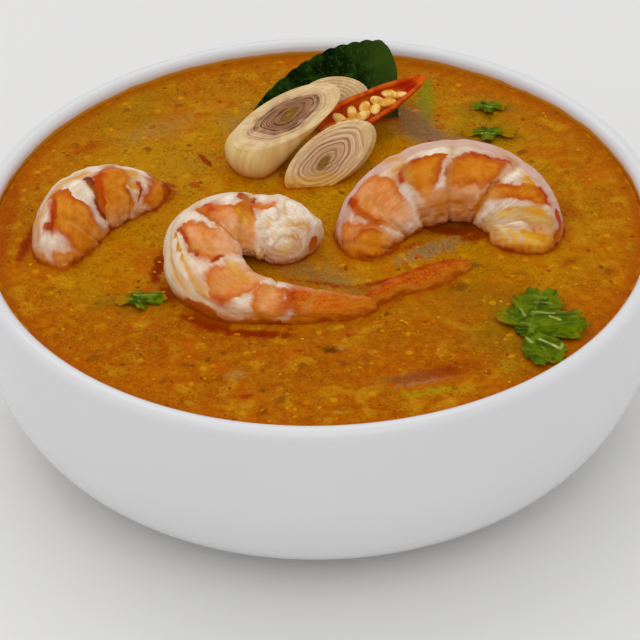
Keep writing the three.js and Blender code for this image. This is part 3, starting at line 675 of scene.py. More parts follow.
def smooth(values, along):
    """A smooth curve through evenly spaced values (Catmull-Rom), read at shares of its length."""
    values = np.asarray(values, dtype=float).reshape(len(values), -1)
    padded = np.vstack([2 * values[0] - values[1], values, 2 * values[-1] - values[-2]])
    spot = np.clip(along, 0, 1) * (len(values) - 1)
    i = np.minimum(spot.astype(int), len(values) - 2)
    w = (spot - i)[:, None]
    p0, p1, p2, p3 = padded[i], padded[i + 1], padded[i + 2], padded[i + 3]
    t1, t2 = (p2 - p0) / 2, (p3 - p1) / 2
    return (p1 + t1 * w + (3 * (p2 - p1) - 2 * t1 - t2) * w ** 2
            + (2 * (p1 - p2) + t1 + t2) * w ** 3)


def bump(distance, width):
    """A soft bump that is 1 where the distance is 0."""
    return np.exp(-((distance / width) ** 2))


def placed(points, prawn):
    """From the prawn's own plane to where it lies in the soup."""
    return turned(points, ("Z", prawn["turn"]), ("X", prawn["tilt"])) + prawn["at"]


def joint_grooves(name, along, angle):
    """Depth of the grooves between the segments, as a share of the girth."""
    form = PRAWN_FORM
    spot = along - form["slant"] * (1 - np.cos(angle))
    width = form["groove_width"] * 0.85
    deep = form["groove"] * (0.4 + 0.6 * step(np.abs(angle), 0.6, 1.1))
    return sum(deep * bump(spot - joint, width) for joint in PRAWNS[name]["joints"])


def head_creases(around):
    """Wide waves whose zero lines are the creases between chunks of flesh at the head end."""
    return lumps(around, 8, 9, octaves=1)


def prawn_surface(name, along, angle):
    """Points on a prawn, in mm. `along` and `angle` are flat arrays of the same length."""
    prawn, form = PRAWNS[name], PRAWN_FORM
    centre = smooth(prawn["spine"], along)
    heading = smooth(prawn["spine"], along + 1e-4) - smooth(prawn["spine"], along - 1e-4)
    heading /= np.linalg.norm(heading, axis=1)[:, None]
    blunt = np.clip(np.minimum(along, 1 - along) / form["cap"], 0, 1)
    closing = np.sqrt(1 - (1 - blunt) ** 2)
    depth = smooth(prawn["depth"], along)[:, 0] * closing
    width = smooth(prawn["width"], along)[:, 0] * closing
    spot = along - form["slant"] * (1 - np.cos(angle))
    joints = np.array([0, *prawn["joints"], 1.12])
    last = joints[np.clip(np.searchsorted(joints, spot, side="right") - 1, 0, len(joints) - 2)]
    plate = np.exp(-np.clip(spot - last, 0, 1) / 0.045) * (last > 0)
    flank = step(np.abs(angle), form["band_angle"], form["band_angle"] + 0.3)
    groove = joint_grooves(name, along, angle)
    groove += form["band_groove"] * bump(np.abs(angle) - form["band_angle"], form["band_width"])
    around = xyz(along * prawn["length"], np.cos(angle) * FLANK, np.sin(angle) * FLANK)
    fibres = np.stack([along * prawn["length"] * 0.25, angle * FLANK], axis=1)
    relief = (0.18 * lumps(around, 8, 3) + 0.11 * lumps(around, 3, 6, octaves=2) * flank
              + 0.05 * lumps(fibres, 1.6, 4) + 0.4 * plate * flank) * closing
    if name == "prawn_centre":
        relief += 0.9 * np.abs(head_creases(around)) * step(0.17 - along, 0, 0.03) * closing
    girth = 1 - groove
    narrow = 1 - form["belly"] * (1 - np.cos(angle)) / 2
    out = (depth * girth + relief) * np.cos(angle)
    side = (width * girth * narrow + relief) * np.sin(angle)
    local = xyz(centre[:, 0] + heading[:, 1] * out, centre[:, 1] - heading[:, 0] * out, -side)
    return placed(local, prawn)


print("end of the right prawn:", prawn_surface("prawn_right", np.zeros(1), np.zeros(1)).round(1))

# %% [markdown]
# Cooked prawn flesh is moist and lets light in a little way, so it gets some subsurface
# scattering and a soft, warm gloss. Muscle fibres are drawn just wide enough to show. Fine
# noise frays the edge of each pigment, which has a darker rim, a mottled middle and a thin
# glaze outside. The dark lines come next, and the broth's orange and red oil last.

# %% Prawn flesh
flesh, tree, shader = new_material(
    "cooked_prawn_flesh", Roughness=0.3, IOR=1.38, Specular_IOR_Level=0.08,
    Specular_Tint="#FFDDB4", Subsurface_Weight=0.1, Subsurface_Scale=0.003,
    Subsurface_Radius=(1.0, 0.4, 0.15))
skin = add(tree, "ShaderNodeAttribute", {"attribute_name": "skin"}, out=1)
muscle = add(tree, "ShaderNodeVectorMath", "MULTIPLY", [skin, (0.25, 1, 1)])
fibre, edge, cloud, drift, grit = (
    add(tree, "ShaderNodeTexNoise", inputs={"Vector": place, "Scale": per_metre(size),
                                            "Detail": detail, "Roughness": 0.6})
    for place, size, detail in ((muscle, 0.77, 4), (muscle, 1.25, 4), (skin, 3.85, 3),
                                (skin, 9.1, 2), (skin, 0.67, 2)))
paint = {name: add(tree, "ShaderNodeAttribute", {"attribute_name": name}, out=2)
         for name in ("band", "blush", "belly", "groove", "film", *PIGMENTS)}
mottle = add(tree, "ShaderNodeMix", inputs={0: 0.4, 2: cloud, 3: fibre})
colour = coat(tree, "#E2C8AA", "#F8EAD4", mottle, 0.38, 0.62)
blush = coat(tree, "#CE9A84", "#DAB0A2", drift, 0.4, 0.6)
cream = coat(tree, "#DCC096", "#E6D6B8", drift, 0.4, 0.6)
band_cover = add(tree, "ShaderNodeMapRange", inputs=[drift, 0.35, 0.5, 0.6, 0.95])
colour = coat(
    tree, colour, coat(tree, cream, blush, paint["blush"]), paint["band"], 0, 1, band_cover)

frayed = add(tree, "ShaderNodeMath", "MULTIPLY_ADD", [edge, 0.8, -0.4 - PAINT_REACH / 2])
inside_mm = {
    name: add(tree, "ShaderNodeMath", "MULTIPLY_ADD", [paint[name], PAINT_REACH, frayed])
    for name in PIGMENTS}
softness = add(tree, "ShaderNodeMapRange", inputs=[drift, 0.4, 0.6, 0.15, 0.9])
softness = add(tree, "ShaderNodeMath", "MULTIPLY_ADD", [paint["belly"], 1.1, softness])
fade = add(tree, "ShaderNodeMath", "MULTIPLY_ADD", [paint["belly"], -0.25, 1])
paler = add(tree, "ShaderNodeMath", "MULTIPLY_ADD", [paint["belly"], 0.16, mottle])
for pigment, (rim, dark, light, glaze) in AREA_TONES.items():
    depth = inside_mm[pigment]
    if glaze:
        patchy = add(tree, "ShaderNodeMapRange", inputs=[drift, 0.36, 0.56, 0, glaze])
        colour = coat(tree, colour, rim, depth, -2.4, -0.1, patchy)
    middle = coat(tree, dark, light, paler, 0.36, 0.66)
    past_rim = add(tree, "ShaderNodeMath", "MULTIPLY_ADD", [paint["belly"], 3, depth])
    tone = coat(tree, rim, middle, past_rim, 0.1, 2.4)
    if pigment == "rust":
        tone = coats(
            tree, tone, ("#8E2E00", grit, 0.5, 0.36, 0.6), ("#EC8830", grit, 0.56, 0.7, 0.5))
    relative = add(tree, "ShaderNodeMath", "DIVIDE", [depth, softness])
    colour = coat(tree, colour, tone, relative, -1, 1, fade)
for pigment, (dark, light) in LINE_TONES.items():
    depth = inside_mm[pigment]
    line = coat(tree, dark, light, mottle, 0.4, 0.6)
    colour = coats(
        tree, colour, ("#BC5406", depth, -1.2, 0.1, 0.45), (line, depth, -0.3, 0.2, 0.93))
crease = coat(tree, "#C07A0C", "#D8A454", drift, 0.4, 0.6)
red_oil = coat(tree, "#902C00", "#AC5002", drift, 0.4, 0.6)
low = add(tree, "ShaderNodeMath", "MULTIPLY_ADD", [edge, 0.5, paint["film"]])
colour = coats(
    tree, colour,
    (crease, paint["groove"], 0, 1, 0.4),
    ("#C87A12", low, 0.32, 0.95, 0.5),          # thin broth, then orange, then red oil
    ("#C66E08", low, 0.72, 1.04, 0.75),
    (red_oil, low, 0.93, 1.22, 0.95))
finish_surface(tree, shader, colour, fibre, 0.4, 0.0003)

# %% [markdown]
# Where flesh meets the soup it is wet with orange broth, so each prawn also carries a film
# value that is 1 at the soup's level and fades out a few millimetres above it.

# %% Oil on the flesh
def film_of(points, reach):
    """1 at and under the soup's level, 0 above a ragged height of about `reach` mm."""
    height = points[:, 2] - SOUP_LEVEL + 0.6 * lumps(points, 5, 21)
    return 1 - np.clip((height - 0.2) / reach, 0, 1)


def oil_rise(points, prawn):
    """Height above the soup in mm up to which red oil stains the flesh."""
    rise = np.full(len(points), 0.4)
    for x, y, reach, height in prawn["oiled"]:
        apart = np.hypot(points[:, 0] - x, points[:, 1] - y)
        rise = np.maximum(rise, height * (1 - step(apart, 0.3 * reach, reach)))
    return rise + 0.35 * lumps(points, 3, 23)


print("film of points in the soup:", film_of(np.array([[0, 0, SOUP_LEVEL - 1]]), 5))

# %% [markdown]
# The tail fan is a few thin blades of shell, each a stretched ellipsoid with a dark line
# along its edge. Closed blades need no thickness added, as a bent sheet would.

# %% Blades of the tail
BLADE_RINGS, BLADE_SIDES = 40, 24
blade_share = np.linspace(0.02, 0.98, BLADE_RINGS)
blade_turn = np.linspace(0, TURN, BLADE_SIDES, endpoint=False)
blade_swell = np.sqrt(1 - (2 * blade_share - 1) ** 2)


def blade_points(blade):
    """A flat leaf-shaped blade of the tail, as rings from its root to its tip."""
    length, width, thickness = blade["size"]
    points = xyz(
        np.repeat((2 * blade_share - 1) * length, BLADE_SIDES),
        (np.outer(blade_swell, np.cos(blade_turn)) * width).ravel(),
        (np.outer(blade_swell, np.sin(blade_turn)) * thickness).ravel())
    points[:, 2] += 0.12 * np.sin(points[:, 1] * 5)
    points = np.vstack([[(-length, 0, 0)], points, [(length, 0, 0)]])
    turns = ("Z", blade["heading"]), ("Y", -blade["rise"]), ("X", blade["roll"])
    return turned(points, *turns) + blade["at"]


def blade_edge(blade):
    """How far a blade's points are inside the dark line along its upper edge, in mm."""
    half_width = np.repeat(blade["size"][1] * blade_swell, BLADE_SIDES)
    off_axis = half_width * np.tile(np.cos(blade_turn), BLADE_RINGS)
    return np.concatenate([[0], np.abs(off_axis) - half_width + 0.8, [0]])


print("points in the tail:", sum(len(blade_points(blade)) for blade in TAIL_FAN))

# %% [markdown]
# Each prawn is one skin of rings, closer together at the rounded ends. Its points carry the
# values that the flesh reads. `skin` is a place in metres that follows the body, so the noise
# streaks run along the muscle. The middle prawn also gets its tail and an orange stain on its
# cut end, and the inside of the right prawn's arch is washed with soup.

# %% Make the prawns
PRAWN_SIDES, CAP_RINGS = 144, 24
HEAD_STAIN = {"at": (-0.6, -15.4, 58.4), "size": (1.9, 2.2, 3.4)}   # middle, half sizes in mm


def make_prawn(name):
    """One prawn, wrapped in its own pigment and wet with soup."""
    prawn = PRAWNS[name]
    cap = PRAWN_FORM["cap"]
    along_steps = 60 + 2 * prawn["length"]
    along = np.concatenate([np.linspace(0.0008, cap, CAP_RINGS),
                            np.linspace(cap, 1 - cap, along_steps)[1:-1],
                            np.linspace(1 - cap, 0.9992, CAP_RINGS)])
    angle = np.linspace(0, TURN, PRAWN_SIDES, endpoint=False)
    flat_along = np.repeat(along, len(angle))
    flat_angle = np.tile(angle, len(along))
    flat_angle = np.where(flat_angle > math.pi, flat_angle - TURN, flat_angle)
    flat_along = np.concatenate([[0], flat_along, [1]])
    flat_angle = np.concatenate([[0], flat_angle, [0]])
    points = prawn_surface(name, flat_along, flat_angle)
    faces = skin_faces(len(along), len(angle))
    paint = pigment_of(name, flat_along, np.degrees(flat_angle))
    blunt = np.clip(np.minimum(flat_along, 1 - flat_along) / cap, 0, 1)
    girth = FLANK * np.sqrt(1 - (1 - blunt) ** 2)
    skin = xyz(flat_along * prawn["length"], np.cos(flat_angle) * girth,
               np.sin(flat_angle) * girth) * MM
    if name == "prawn_right":
        round_it = 1 - step(flat_along, 0.2, 0.27)
        skin[:, 0] -= 3 * np.clip(0.23 - flat_along, 0, 1) * prawn["length"] * MM
        skin[:, 1:3] *= (1 - 0.75 * round_it)[:, None]
    band = 1 - step(np.abs(flat_angle), *prawn["band"])
    band *= 1 - step(flat_along, prawn["band_end"], prawn["band_end"] + 0.06)
    belly = step(-np.cos(flat_angle), 0.1, 0.75)
    groove = joint_grooves(name, flat_along, flat_angle) / PRAWN_FORM["groove"]
    groove *= step(np.abs(flat_angle), 0.5, 0.9)
    in_oil = oil_rise(points, prawn) - (points[:, 2] - SOUP_LEVEL)
    film = np.maximum(film_of(points, prawn["wet"]), step(in_oil, -0.9, 0.6))
    if name == "prawn_right":
        bend = step(np.abs(flat_angle), 1.65, 2.35) * step(flat_along, 0.25, 0.34)
        film = np.maximum(film, 0.72 * bend * step(0.68 - flat_along, 0, 0.08))
    if name == "prawn_centre":
        off_stain = np.linalg.norm((points - HEAD_STAIN["at"]) / HEAD_STAIN["size"], axis=1)
        stain = np.clip(0.5 + 2 * (1 - off_stain) / PAINT_REACH, 0, 1)
        paint["orange"] = np.maximum(paint["orange"], stain)
        film = np.maximum(film, 0.3 * step(flat_along, 0.86, 0.99))
        creases = bump(head_creases(skin / MM), 0.12) * step(0.16 - flat_along, 0, 0.03)
        groove = np.maximum(groove, 1.2 * creases)
        for blade in TAIL_FAN:
            start = len(points)
            blades = placed(blade_points(blade), prawn)
            points = np.vstack([points, blades])
            faces += [tuple(start + i for i in face)
                      for face in skin_faces(BLADE_RINGS, BLADE_SIDES)]
            skin = np.vstack([skin, blades * MM])
            for pigment in PIGMENTS:
                fill = np.full(len(blades), 0.75 if pigment == "rust" else 0)
                if pigment == "red":
                    fill = 0.5 + blade_edge(blade) / PAINT_REACH
                paint[pigment] = np.concatenate([paint[pigment], fill])
            band, belly = (
                np.concatenate([value, np.zeros(len(blades))]) for value in (band, belly))
            groove = np.concatenate([groove, 0.5 * step(lumps(blades, 4, 5), -0.2, 0.6)])
            film = np.concatenate([film, 0.1 + 0.9 * film_of(blades, 2.5)])
    piece = new_piece(
        name + "_flesh", points, faces, flesh, skin=skin, band=band, belly=belly, groove=groove,
        film=film, blush=np.full(len(points), prawn["blush"]), **paint)
    return keep(piece, "prawn", name)


prawns = [make_prawn(name) for name in PRAWNS]

# %% [markdown]
# ## Lemongrass
# A stalk of lemongrass is rolled leaf bases, like a thin leek: pale and fibrous outside, with
# rings of mauve and brown inside. Cut on a slant it shows ovals. Each slice is a skin of
# rings that starts at the cut face and follows the stalk. A cylinder cut with a Boolean
# would not have these rings, whose points carry their place on the oval for the shader.
#
# `face` is the middle of the cut face and `long` its half length as an arrow, `narrow` its
# half width, and `away` the way that the stalk runs for `length`, to a rounded end that is
# `dome` long. `heart` is how far the innermost leaf is off the middle, `ringed` where the
# rings end, as a share of the face, and `pale` how pale they are.

# %% Form of the slices
LEMONGRASS = {
    "lemongrass_large": {
        "face": (-7.3, 32.9, 66.4), "normal": (-0.07, -0.218, 0.973), "long": (13.4, 9.3, 3),
        "narrow": 7.8, "away": (-0.697, -0.409, -0.589), "length": 14, "dome": 6,
        "heart": (0.5, 0.2), "ringed": 0.8, "pale": 0,
    },
    "lemongrass_small": {
        "face": (2.9, 22, 60.1), "normal": (0.04, -0.714, 0.7), "long": (10.8, 6.2, 5.8),
        "narrow": 6.7, "away": (0.35, 0.75, -0.55), "length": 4.5, "dome": 0,
        "heart": (-2.2, -0.3), "ringed": 0.9, "pale": 0.6,
    },
    "lemongrass_back": {
        "face": (5, 47.9, 61.9), "normal": (0.1, -0.7, 0.7), "long": (9.5, 1.5, 0),
        "narrow": 6, "away": (0, 0.71, -0.71), "length": 3.6, "dome": 0,
        "heart": (-3, -1), "ringed": 0.3, "pale": 0.9,
    },
}


SLICE_SIDES = 160


def slice_frame(cut):
    """The face's long axis, short axis and normal, as rows."""
    x = np.array(cut["long"], dtype=float)
    x /= np.linalg.norm(x)
    z = np.array(cut["normal"], dtype=float)
    z -= x * (x @ z)
    z /= np.linalg.norm(z)
    return np.stack([x, np.cross(z, x), z])


def slice_points(cut, sides):
    """Rings of a slice from the middle of its cut face to the far end, with face places."""
    axes = slice_frame(cut)
    away = axes @ np.array(cut["away"], dtype=float)
    away /= np.linalg.norm(away)
    half_long = np.linalg.norm(cut["long"])
    angle = -np.linspace(0, TURN, sides, endpoint=False)
    oval = xyz(half_long * np.cos(angle), cut["narrow"] * np.sin(angle), 0.0)
    squared = oval - np.outer(oval @ away, away)
    rings, kind = [], []
    for share in np.linspace(0.02, 0.94, 34):
        ring = oval * share
        ring[:, 2] += 0.14 * np.sin(share * 46 + 1.2 * np.sin(angle * 2)) * step(share, 0, 0.2)
        rings.append(ring)
        kind.append(0)
    for share, drop in [(0.965, 0.06), (0.985, 0.2), (1, 0.5)]:
        rings.append(oval * share + away * drop)
        kind.append(0)
    end = cut["length"] + cut["dome"]
    if cut["dome"]:
        for share in np.linspace(0.02, 1, 26)[:-1]:
            rings.append(
                (oval + away * 0.5) * (1 - share) + (squared + away * cut["length"]) * share)
            kind.append(1)
        for share in np.sin(np.linspace(0, math.pi / 2, 12))[:-1]:
            rings.append(
                squared * math.sqrt(1 - share ** 2) + away * (cut["length"] + cut["dome"] * share))
            kind.append(1)
    else:
        for drop in np.linspace(1, end - 1.2, 10):
            rings.append(oval + away * drop)
            kind.append(1)
        for share, back in [(0.99, 0.7), (0.95, 0.25), (0.86, 0), (0.4, 0)]:
            rings.append(oval * share + away * (end - back))
            kind.append(1)
    local = np.vstack([[(0, 0, 0)], *rings, [away * end]])
    on_side = np.concatenate([[0], np.repeat(kind, sides), [1]]).astype(float)
    around = np.tile(angle, len(rings))
    fibre = 0.02 * np.sin(41 * around + 2 * np.sin(5 * around))
    outward = local[1:-1].copy()
    outward /= np.linalg.norm(outward, axis=1)[:, None] + 1e-9
    local[1:-1] += outward * (fibre * on_side[1:-1])[:, None]
    return local, local @ axes + np.array(cut["face"]), on_side, len(rings)


large_rings = slice_points(LEMONGRASS["lemongrass_large"], SLICE_SIDES)[3]
print("large slice:", large_rings, "rings")

# %% [markdown]
# Cut lemongrass is matt and a little see-through. A sine of the distance to the heart beats
# once for each leaf, and noise bends the rings, because leaf bases are never true circles.
# On the face 0 is the heart and 1 the edge, so scales there count cells per half width of
# the slice. Along the side they count cells per millimetre, and the fibres are drawn 1.7 mm
# wide, coarser than real ones, so that they show.

# %% Lemongrass finish
stalk, tree, shader = new_material(
    "fresh_cut_lemongrass", Roughness=0.4, IOR=1.4, Specular_IOR_Level=0.2,
    Specular_Tint="#FFE6C0", Subsurface_Weight=0.08, Subsurface_Scale=0.002)
face, fibre_place = (
    add(tree, "ShaderNodeAttribute", {"attribute_name": name}, out=1)
    for name in ("face", "fibre"))
ringed, on_cut, wet, pale = (
    add(tree, "ShaderNodeAttribute", {"attribute_name": name}, out=2)
    for name in ("ringed", "cut", "film", "pale"))
wobble = add(
    tree, "ShaderNodeTexNoise", inputs={"Vector": face, "Scale": 1.5, "Detail": 0.4}, out=1)
bent = add(tree, "ShaderNodeVectorMath", "MULTIPLY_ADD", [wobble, (0.3, 0.3, 0), face])
bent = add(tree, "ShaderNodeVectorMath", "SUBTRACT", [bent, (0.15, 0.15, 0)])
reach = add(tree, "ShaderNodeVectorMath", "LENGTH", [bent], out=1)
sevenfold = add(tree, "ShaderNodeMath", "MULTIPLY", [reach, 7])
uneven = add(tree, "ShaderNodeTexNoise", {"noise_dimensions": "1D"}, {"W": sevenfold, "Detail": 1})
leaf_count = add(tree, "ShaderNodeMath", "MULTIPLY", [reach, 44])
leaf_count = add(tree, "ShaderNodeMath", "MULTIPLY_ADD", [uneven, 9, leaf_count])
beat = add(tree, "ShaderNodeMath", "SINE", [leaf_count])
soft_tone = add(tree, "ShaderNodeTexNoise", inputs={"Vector": face, "Scale": 4, "Detail": 2})
outward = add(tree, "ShaderNodeMath", "MULTIPLY_ADD", [soft_tone, 0.4, reach])
pale_rings = coat(tree, "#BE8A64", "#EECA9A", beat, -0.9, 0.5)
outer_rings = coat(tree, "#C49A74", "#ECCC9A", beat, -0.8, 0.6)
zone = coats(
    tree, coat(tree, "#62341C", "#926244", beat, -0.9, 0.9),
    ("#9E6A42", soft_tone, 0.42, 0.62, 0.7),
    ("#CCA684", beat, 0.7, 1.0, 0.6),
    (pale_rings, pale),
    (outer_rings, outward, 0.62, 1.0),
    ("#7C5600", reach, 0.3, 0.08, 0.92),        # the olive heart and its paler middle
    ("#A07C20", reach, 0.07, 0, 0.8))
fibre = add(tree, "ShaderNodeTexNoise", inputs={"Vector": fibre_place, "Scale": 0.6, "Detail": 3})
sheath = coat(tree, "#E0B86E", "#F0D294", fibre, 0.3, 0.7)
cut_sheath = coats(
    tree, coat(tree, "#DAB680", "#EACE9C", fibre, 0.3, 0.7), ("#C8A068", beat, 0.2, 0.9, 0.3))
colour = coats(
    tree, sheath, (cut_sheath, on_cut), (zone, ringed), ("#DCA034", wet, 0, 0.8, 0.75),
    ("#BC7A10", wet, 0.72, 1.0, 0.95))
finish_surface(tree, shader, colour, fibre, 0.1, 0.0003)

# %% [markdown]
# Each slice is given its place on the oval, measured from the heart and not from the middle,
# and a `fibre` place in millimetres that runs round and along the stalk.

# %% Make the slices
def make_slice(name):
    """One slice, with its leaf rings, fibres and wet foot."""
    cut = LEMONGRASS[name]
    local, points, on_side, rings = slice_points(cut, SLICE_SIDES)
    half_long = np.linalg.norm(cut["long"])
    oval = np.hypot(local[:, 0] / half_long, local[:, 1] / cut["narrow"])
    heart = np.array(cut["heart"]) * np.clip(1 - oval, 0, 1)[:, None]
    place = (local[:, :2] - heart) / (half_long, cut["narrow"])
    ringed = (1 - on_side) * (
        1 - step(oval + 0.04 * lumps(local, 6, 8), cut["ringed"] - 0.1, cut["ringed"]))
    angle = np.arctan2(local[:, 1] / cut["narrow"], local[:, 0] / half_long)
    fibre = xyz(np.cos(angle) * 9, np.sin(angle) * 9, local[:, 2] * 0.12 + oval * 3)
    face = xyz(place[:, 0], place[:, 1], 0)
    piece = new_piece(
        name + "_slice", points, skin_faces(rings, SLICE_SIDES), stalk, face=face, fibre=fibre,
        ringed=ringed, cut=1 - on_side, film=film_of(points, 4),
        pale=np.full(len(points), cut["pale"]))
    return keep(piece, "lemongrass", name)


slices = [make_slice(name) for name in LEMONGRASS]

# %% [markdown]
# ## Half a chilli
# A red chilli cut along its length is a small boat: a waxy skin outside, paler wet flesh on
# the cut, a rib down the middle and flat round seeds along it. Half a cone with Solidify
# would be too even, so rings go round the skin and back through the hollow. Lengths are in
# millimetres, and the rest are shares of the radius or of the length.

# %% Form of the chilli
CHILLI = {"butt": (1, 33.5, 60.9), "tip": (30.2, 53.6, 65), "up": (-0.1, -0.45, 0.89),
          "half_width": 5.3, "depth": 0.95, "hollow": 0.8, "wall": 1.3, "least_hollow": 0.55,
          "rib": 0.45, "rib_width": 0.35, "shoulder": 0.3, "hollow_end": 0.92, "seeds": 11,
          "seed_size": (2.2, 1.35, 0.75), "seed": 7}
butt, tip = Vector(CHILLI["butt"]), Vector(CHILLI["tip"])
chilli_length = (tip - butt).length
chilli_x = (tip - butt).normalized()
chilli_y = Vector(CHILLI["up"]).cross(chilli_x).normalized()
chilli_axes = np.array([chilli_x, chilli_y, chilli_x.cross(chilli_y)])


def chilli_radius(along):
    """Half the chilli's width, from its blunt butt to its tip."""
    swell = np.sqrt(1 - (1 - np.minimum(along / CHILLI["shoulder"], 1)) ** 2)
    return CHILLI["half_width"] * swell * (1 - along ** 2.6) ** 0.72


def chilli_points(stations, outer, inner):
    """Closed rings: round the skin, then back through the hollow."""
    rings, inside = [], []
    for along in np.linspace(0.004, 0.996, stations):
        radius = chilli_radius(along)
        hole = max(radius - CHILLI["wall"], radius * CHILLI["least_hollow"])
        opened = math.sin(math.pi * min(along / CHILLI["hollow_end"], 1)) ** 0.5
        turn = np.linspace(0, math.pi, outer + 1)
        wave = 1 + 0.02 * np.sin(along * 22 + turn * 2)
        skin = xyz(along * chilli_length, -radius * wave * np.cos(turn),
                   -radius * wave * CHILLI["depth"] * np.sin(turn))
        turn = np.linspace(math.pi, 0, inner + 1)
        floor = 1 - CHILLI["rib"] * bump(turn - math.pi / 2, CHILLI["rib_width"])
        wall = xyz(along * chilli_length, -hole * np.cos(turn),
                   -opened * hole * CHILLI["hollow"] * floor * np.sin(turn))
        rings.append(np.vstack([skin, wall]))
        inside.append(np.concatenate([np.zeros(outer + 1), np.sin(turn)]))
    ends = [(0, 0, -1.5)], [(chilli_length, 0, -0.2)]
    return (np.vstack([ends[0], *rings, ends[1]]), np.concatenate([[0], *inside, [0]]),
            stations, outer + inner + 2)


print("chilli length in mm:", round(chilli_length, 1))

# %% [markdown]
# Chilli skin is waxy and shines. The wall inside is wet and more orange, the rib that holds
# the seeds is pale, and the cut edge shows a lighter line of flesh. Seeds are dry, matt and
# straw yellow. The mottling is about 3 mm wide, as on a ripe chilli.

# %% Chilli finish
chilli_skin, tree, shader = new_material(
    "cut_red_chilli", Roughness=0.22, IOR=1.45, Specular_IOR_Level=0.07, Specular_Tint="#FFA060")
where = add(tree, "ShaderNodeTexCoord", out=3)
mottle = add(
    tree, "ShaderNodeTexNoise", inputs={"Vector": where, "Scale": per_metre(3.12), "Detail": 3})
inside_wall, placenta, to_tip, rim = (
    add(tree, "ShaderNodeAttribute", {"attribute_name": name}, out=2)
    for name in ("inside", "placenta", "to_tip", "rim"))
wall_red = coat(tree, coat(tree, "#B03200", "#CC5A06", mottle, 0.35, 0.65), "#A41C00", to_tip)
rib = coat(tree, "#D87C14", "#EAAA44", mottle, 0.35, 0.65)
skin_red = coat(tree, "#9C1000", "#B82002", mottle, 0.35, 0.65)
cut_edge = coat(tree, "#BE3A00", "#DA6410", mottle, 0.35, 0.65)
colour = coats(tree, skin_red, (coat(tree, wall_red, rib, placenta), inside_wall), (cut_edge, rim))
finish_surface(tree, shader, colour, mottle, 0.2, 0.0003)

seed_coat, tree, shader = new_material(
    "chilli_seed", Roughness=0.35, Specular_IOR_Level=0.2, Specular_Tint="#FFE0A0",
    Subsurface_Weight=0.1, Subsurface_Scale=0.001)
where = add(tree, "ShaderNodeTexCoord", out=3)
mottle = add(
    tree, "ShaderNodeTexNoise", inputs={"Vector": where, "Scale": per_metre(2.38), "Detail": 2})
finish_surface(
    tree, shader, coat(tree, "#E8A438", "#FFD982", mottle, 0.38, 0.6), mottle, 0.1, 0.0002)

# %% [markdown]
# The seeds are flattened balls in two rows. They could be scattered along the rib, but their
# places are also those on the solid, so both use the same small rule for random numbers.

# %% Make the chilli and its seeds
SEED_RINGS, SEED_SIDES = 12, 20


def random_from(seed):
    """Small repeatable random numbers between 0 and 1, by a linear congruential rule."""
    state = seed
    while True:
        state = (state * 1664525 + 1013904223) % 4294967296
        yield state / 4294967296


local, inside, stations, count = chilli_points(stations=110, outer=40, inner=32)
height = local[:, 2]
edge_value = step(height, -0.35, 0) * (inside == 0)
share = local[:, 0] / chilli_length
middle = bump(local[:, 1] / np.maximum(chilli_radius(np.clip(share, 0.01, 0.99)), 0.5), 0.24)
boat = new_piece(
    "chilli_boat", local @ chilli_axes + np.array(CHILLI["butt"]), skin_faces(stations, count),
    chilli_skin, inside=step(inside, 0.02, 0.4), placenta=middle * (1 - step(share, 0.66, 0.8)),
    to_tip=step(share, 0.6, 0.85),
    rim=np.maximum(edge_value, (inside > 0) * step(height, -0.5, 0)))
keep(boat, "chilli", "chilli_half")

seed_points, seed_faces = [], []
ring_share = np.linspace(0, math.pi, SEED_RINGS + 2)[1:-1]
ring_turn = np.linspace(0, TURN, SEED_SIDES, endpoint=False)
rings = [xyz(-math.cos(a), math.sin(a) * np.cos(ring_turn), math.sin(a) * np.sin(ring_turn))
         for a in ring_share]
ball = np.vstack([[(-1, 0, 0)], *rings, [(1, 0, 0)]])
draw = random_from(CHILLI["seed"])
for i in range(CHILLI["seeds"]):
    along = 0.16 + 0.56 * i / (CHILLI["seeds"] - 1)
    radius = CHILLI["half_width"] * (1 - along ** 2.6) ** 0.72
    side = 0.08 + 0.25 * next(draw)
    turn_z = 2.0 * (next(draw) - 0.5)
    turn_x = 1.6 * (next(draw) - 0.5)
    spin = Matrix.Rotation(turn_x, 3, "X") @ Matrix.Rotation(turn_z, 3, "Z")
    points = (ball * CHILLI["seed_size"]) @ np.array(spin).T
    points += (along * chilli_length, (side if i % 2 else -side) * radius, -0.33 * radius)
    start = len(seed_points) * len(ball)
    seed_points.append(points)
    seed_faces += [tuple(start + k for k in face) for face in skin_faces(SEED_RINGS, SEED_SIDES)]
seed_places = np.vstack(seed_points) @ chilli_axes + np.array(CHILLI["butt"])
seeds = new_piece("chilli_seeds", seed_places, seed_faces, seed_coat)
keep(seeds, "chilli")

# %% [markdown]
# ## Lime leaf
# A makrut lime leaf is thick, dark and glossy, with a paler midrib and fine side veins. It
# stands in the soup behind the lemongrass and leans back. A plane with Solidify would do,
# but a front and a back grid keep the veins as real relief. They are gently waved and have
# small teeth along the upper edge. Lengths are in millimetres.

# %% Form of the lime leaf
LEAF = {"at": (1.1, 48.2, 54.3), "lean": 45, "left": -19.5, "right": 21, "crest": 16.5,
        "height": 21.8, "roundness": 0.77, "drop": 8, "sunk": 5, "tooth": 0.45, "pitch": 3.4,
        "thickness": 0.6}


def leaf_edge(x):
    """Height of the upper edge: a long round rise, then a short drop, with teeth."""
    scallop = LEAF["tooth"] * np.abs(np.sin(math.pi * (x - LEAF["left"]) / LEAF["pitch"]))
    share = np.clip((x - LEAF["left"]) / (LEAF["crest"] - LEAF["left"]), 0, 1)
    rise = LEAF["height"] * (1 - (1 - share) ** 2) ** LEAF["roundness"]
    past = np.clip((x - LEAF["crest"]) / (LEAF["right"] - LEAF["crest"]), 0, 1)
    return np.where(x < LEAF["crest"], rise + scallop * np.minimum(1, share * 4),
                    LEAF["height"] - LEAF["drop"] * past ** 2.2 + scallop)


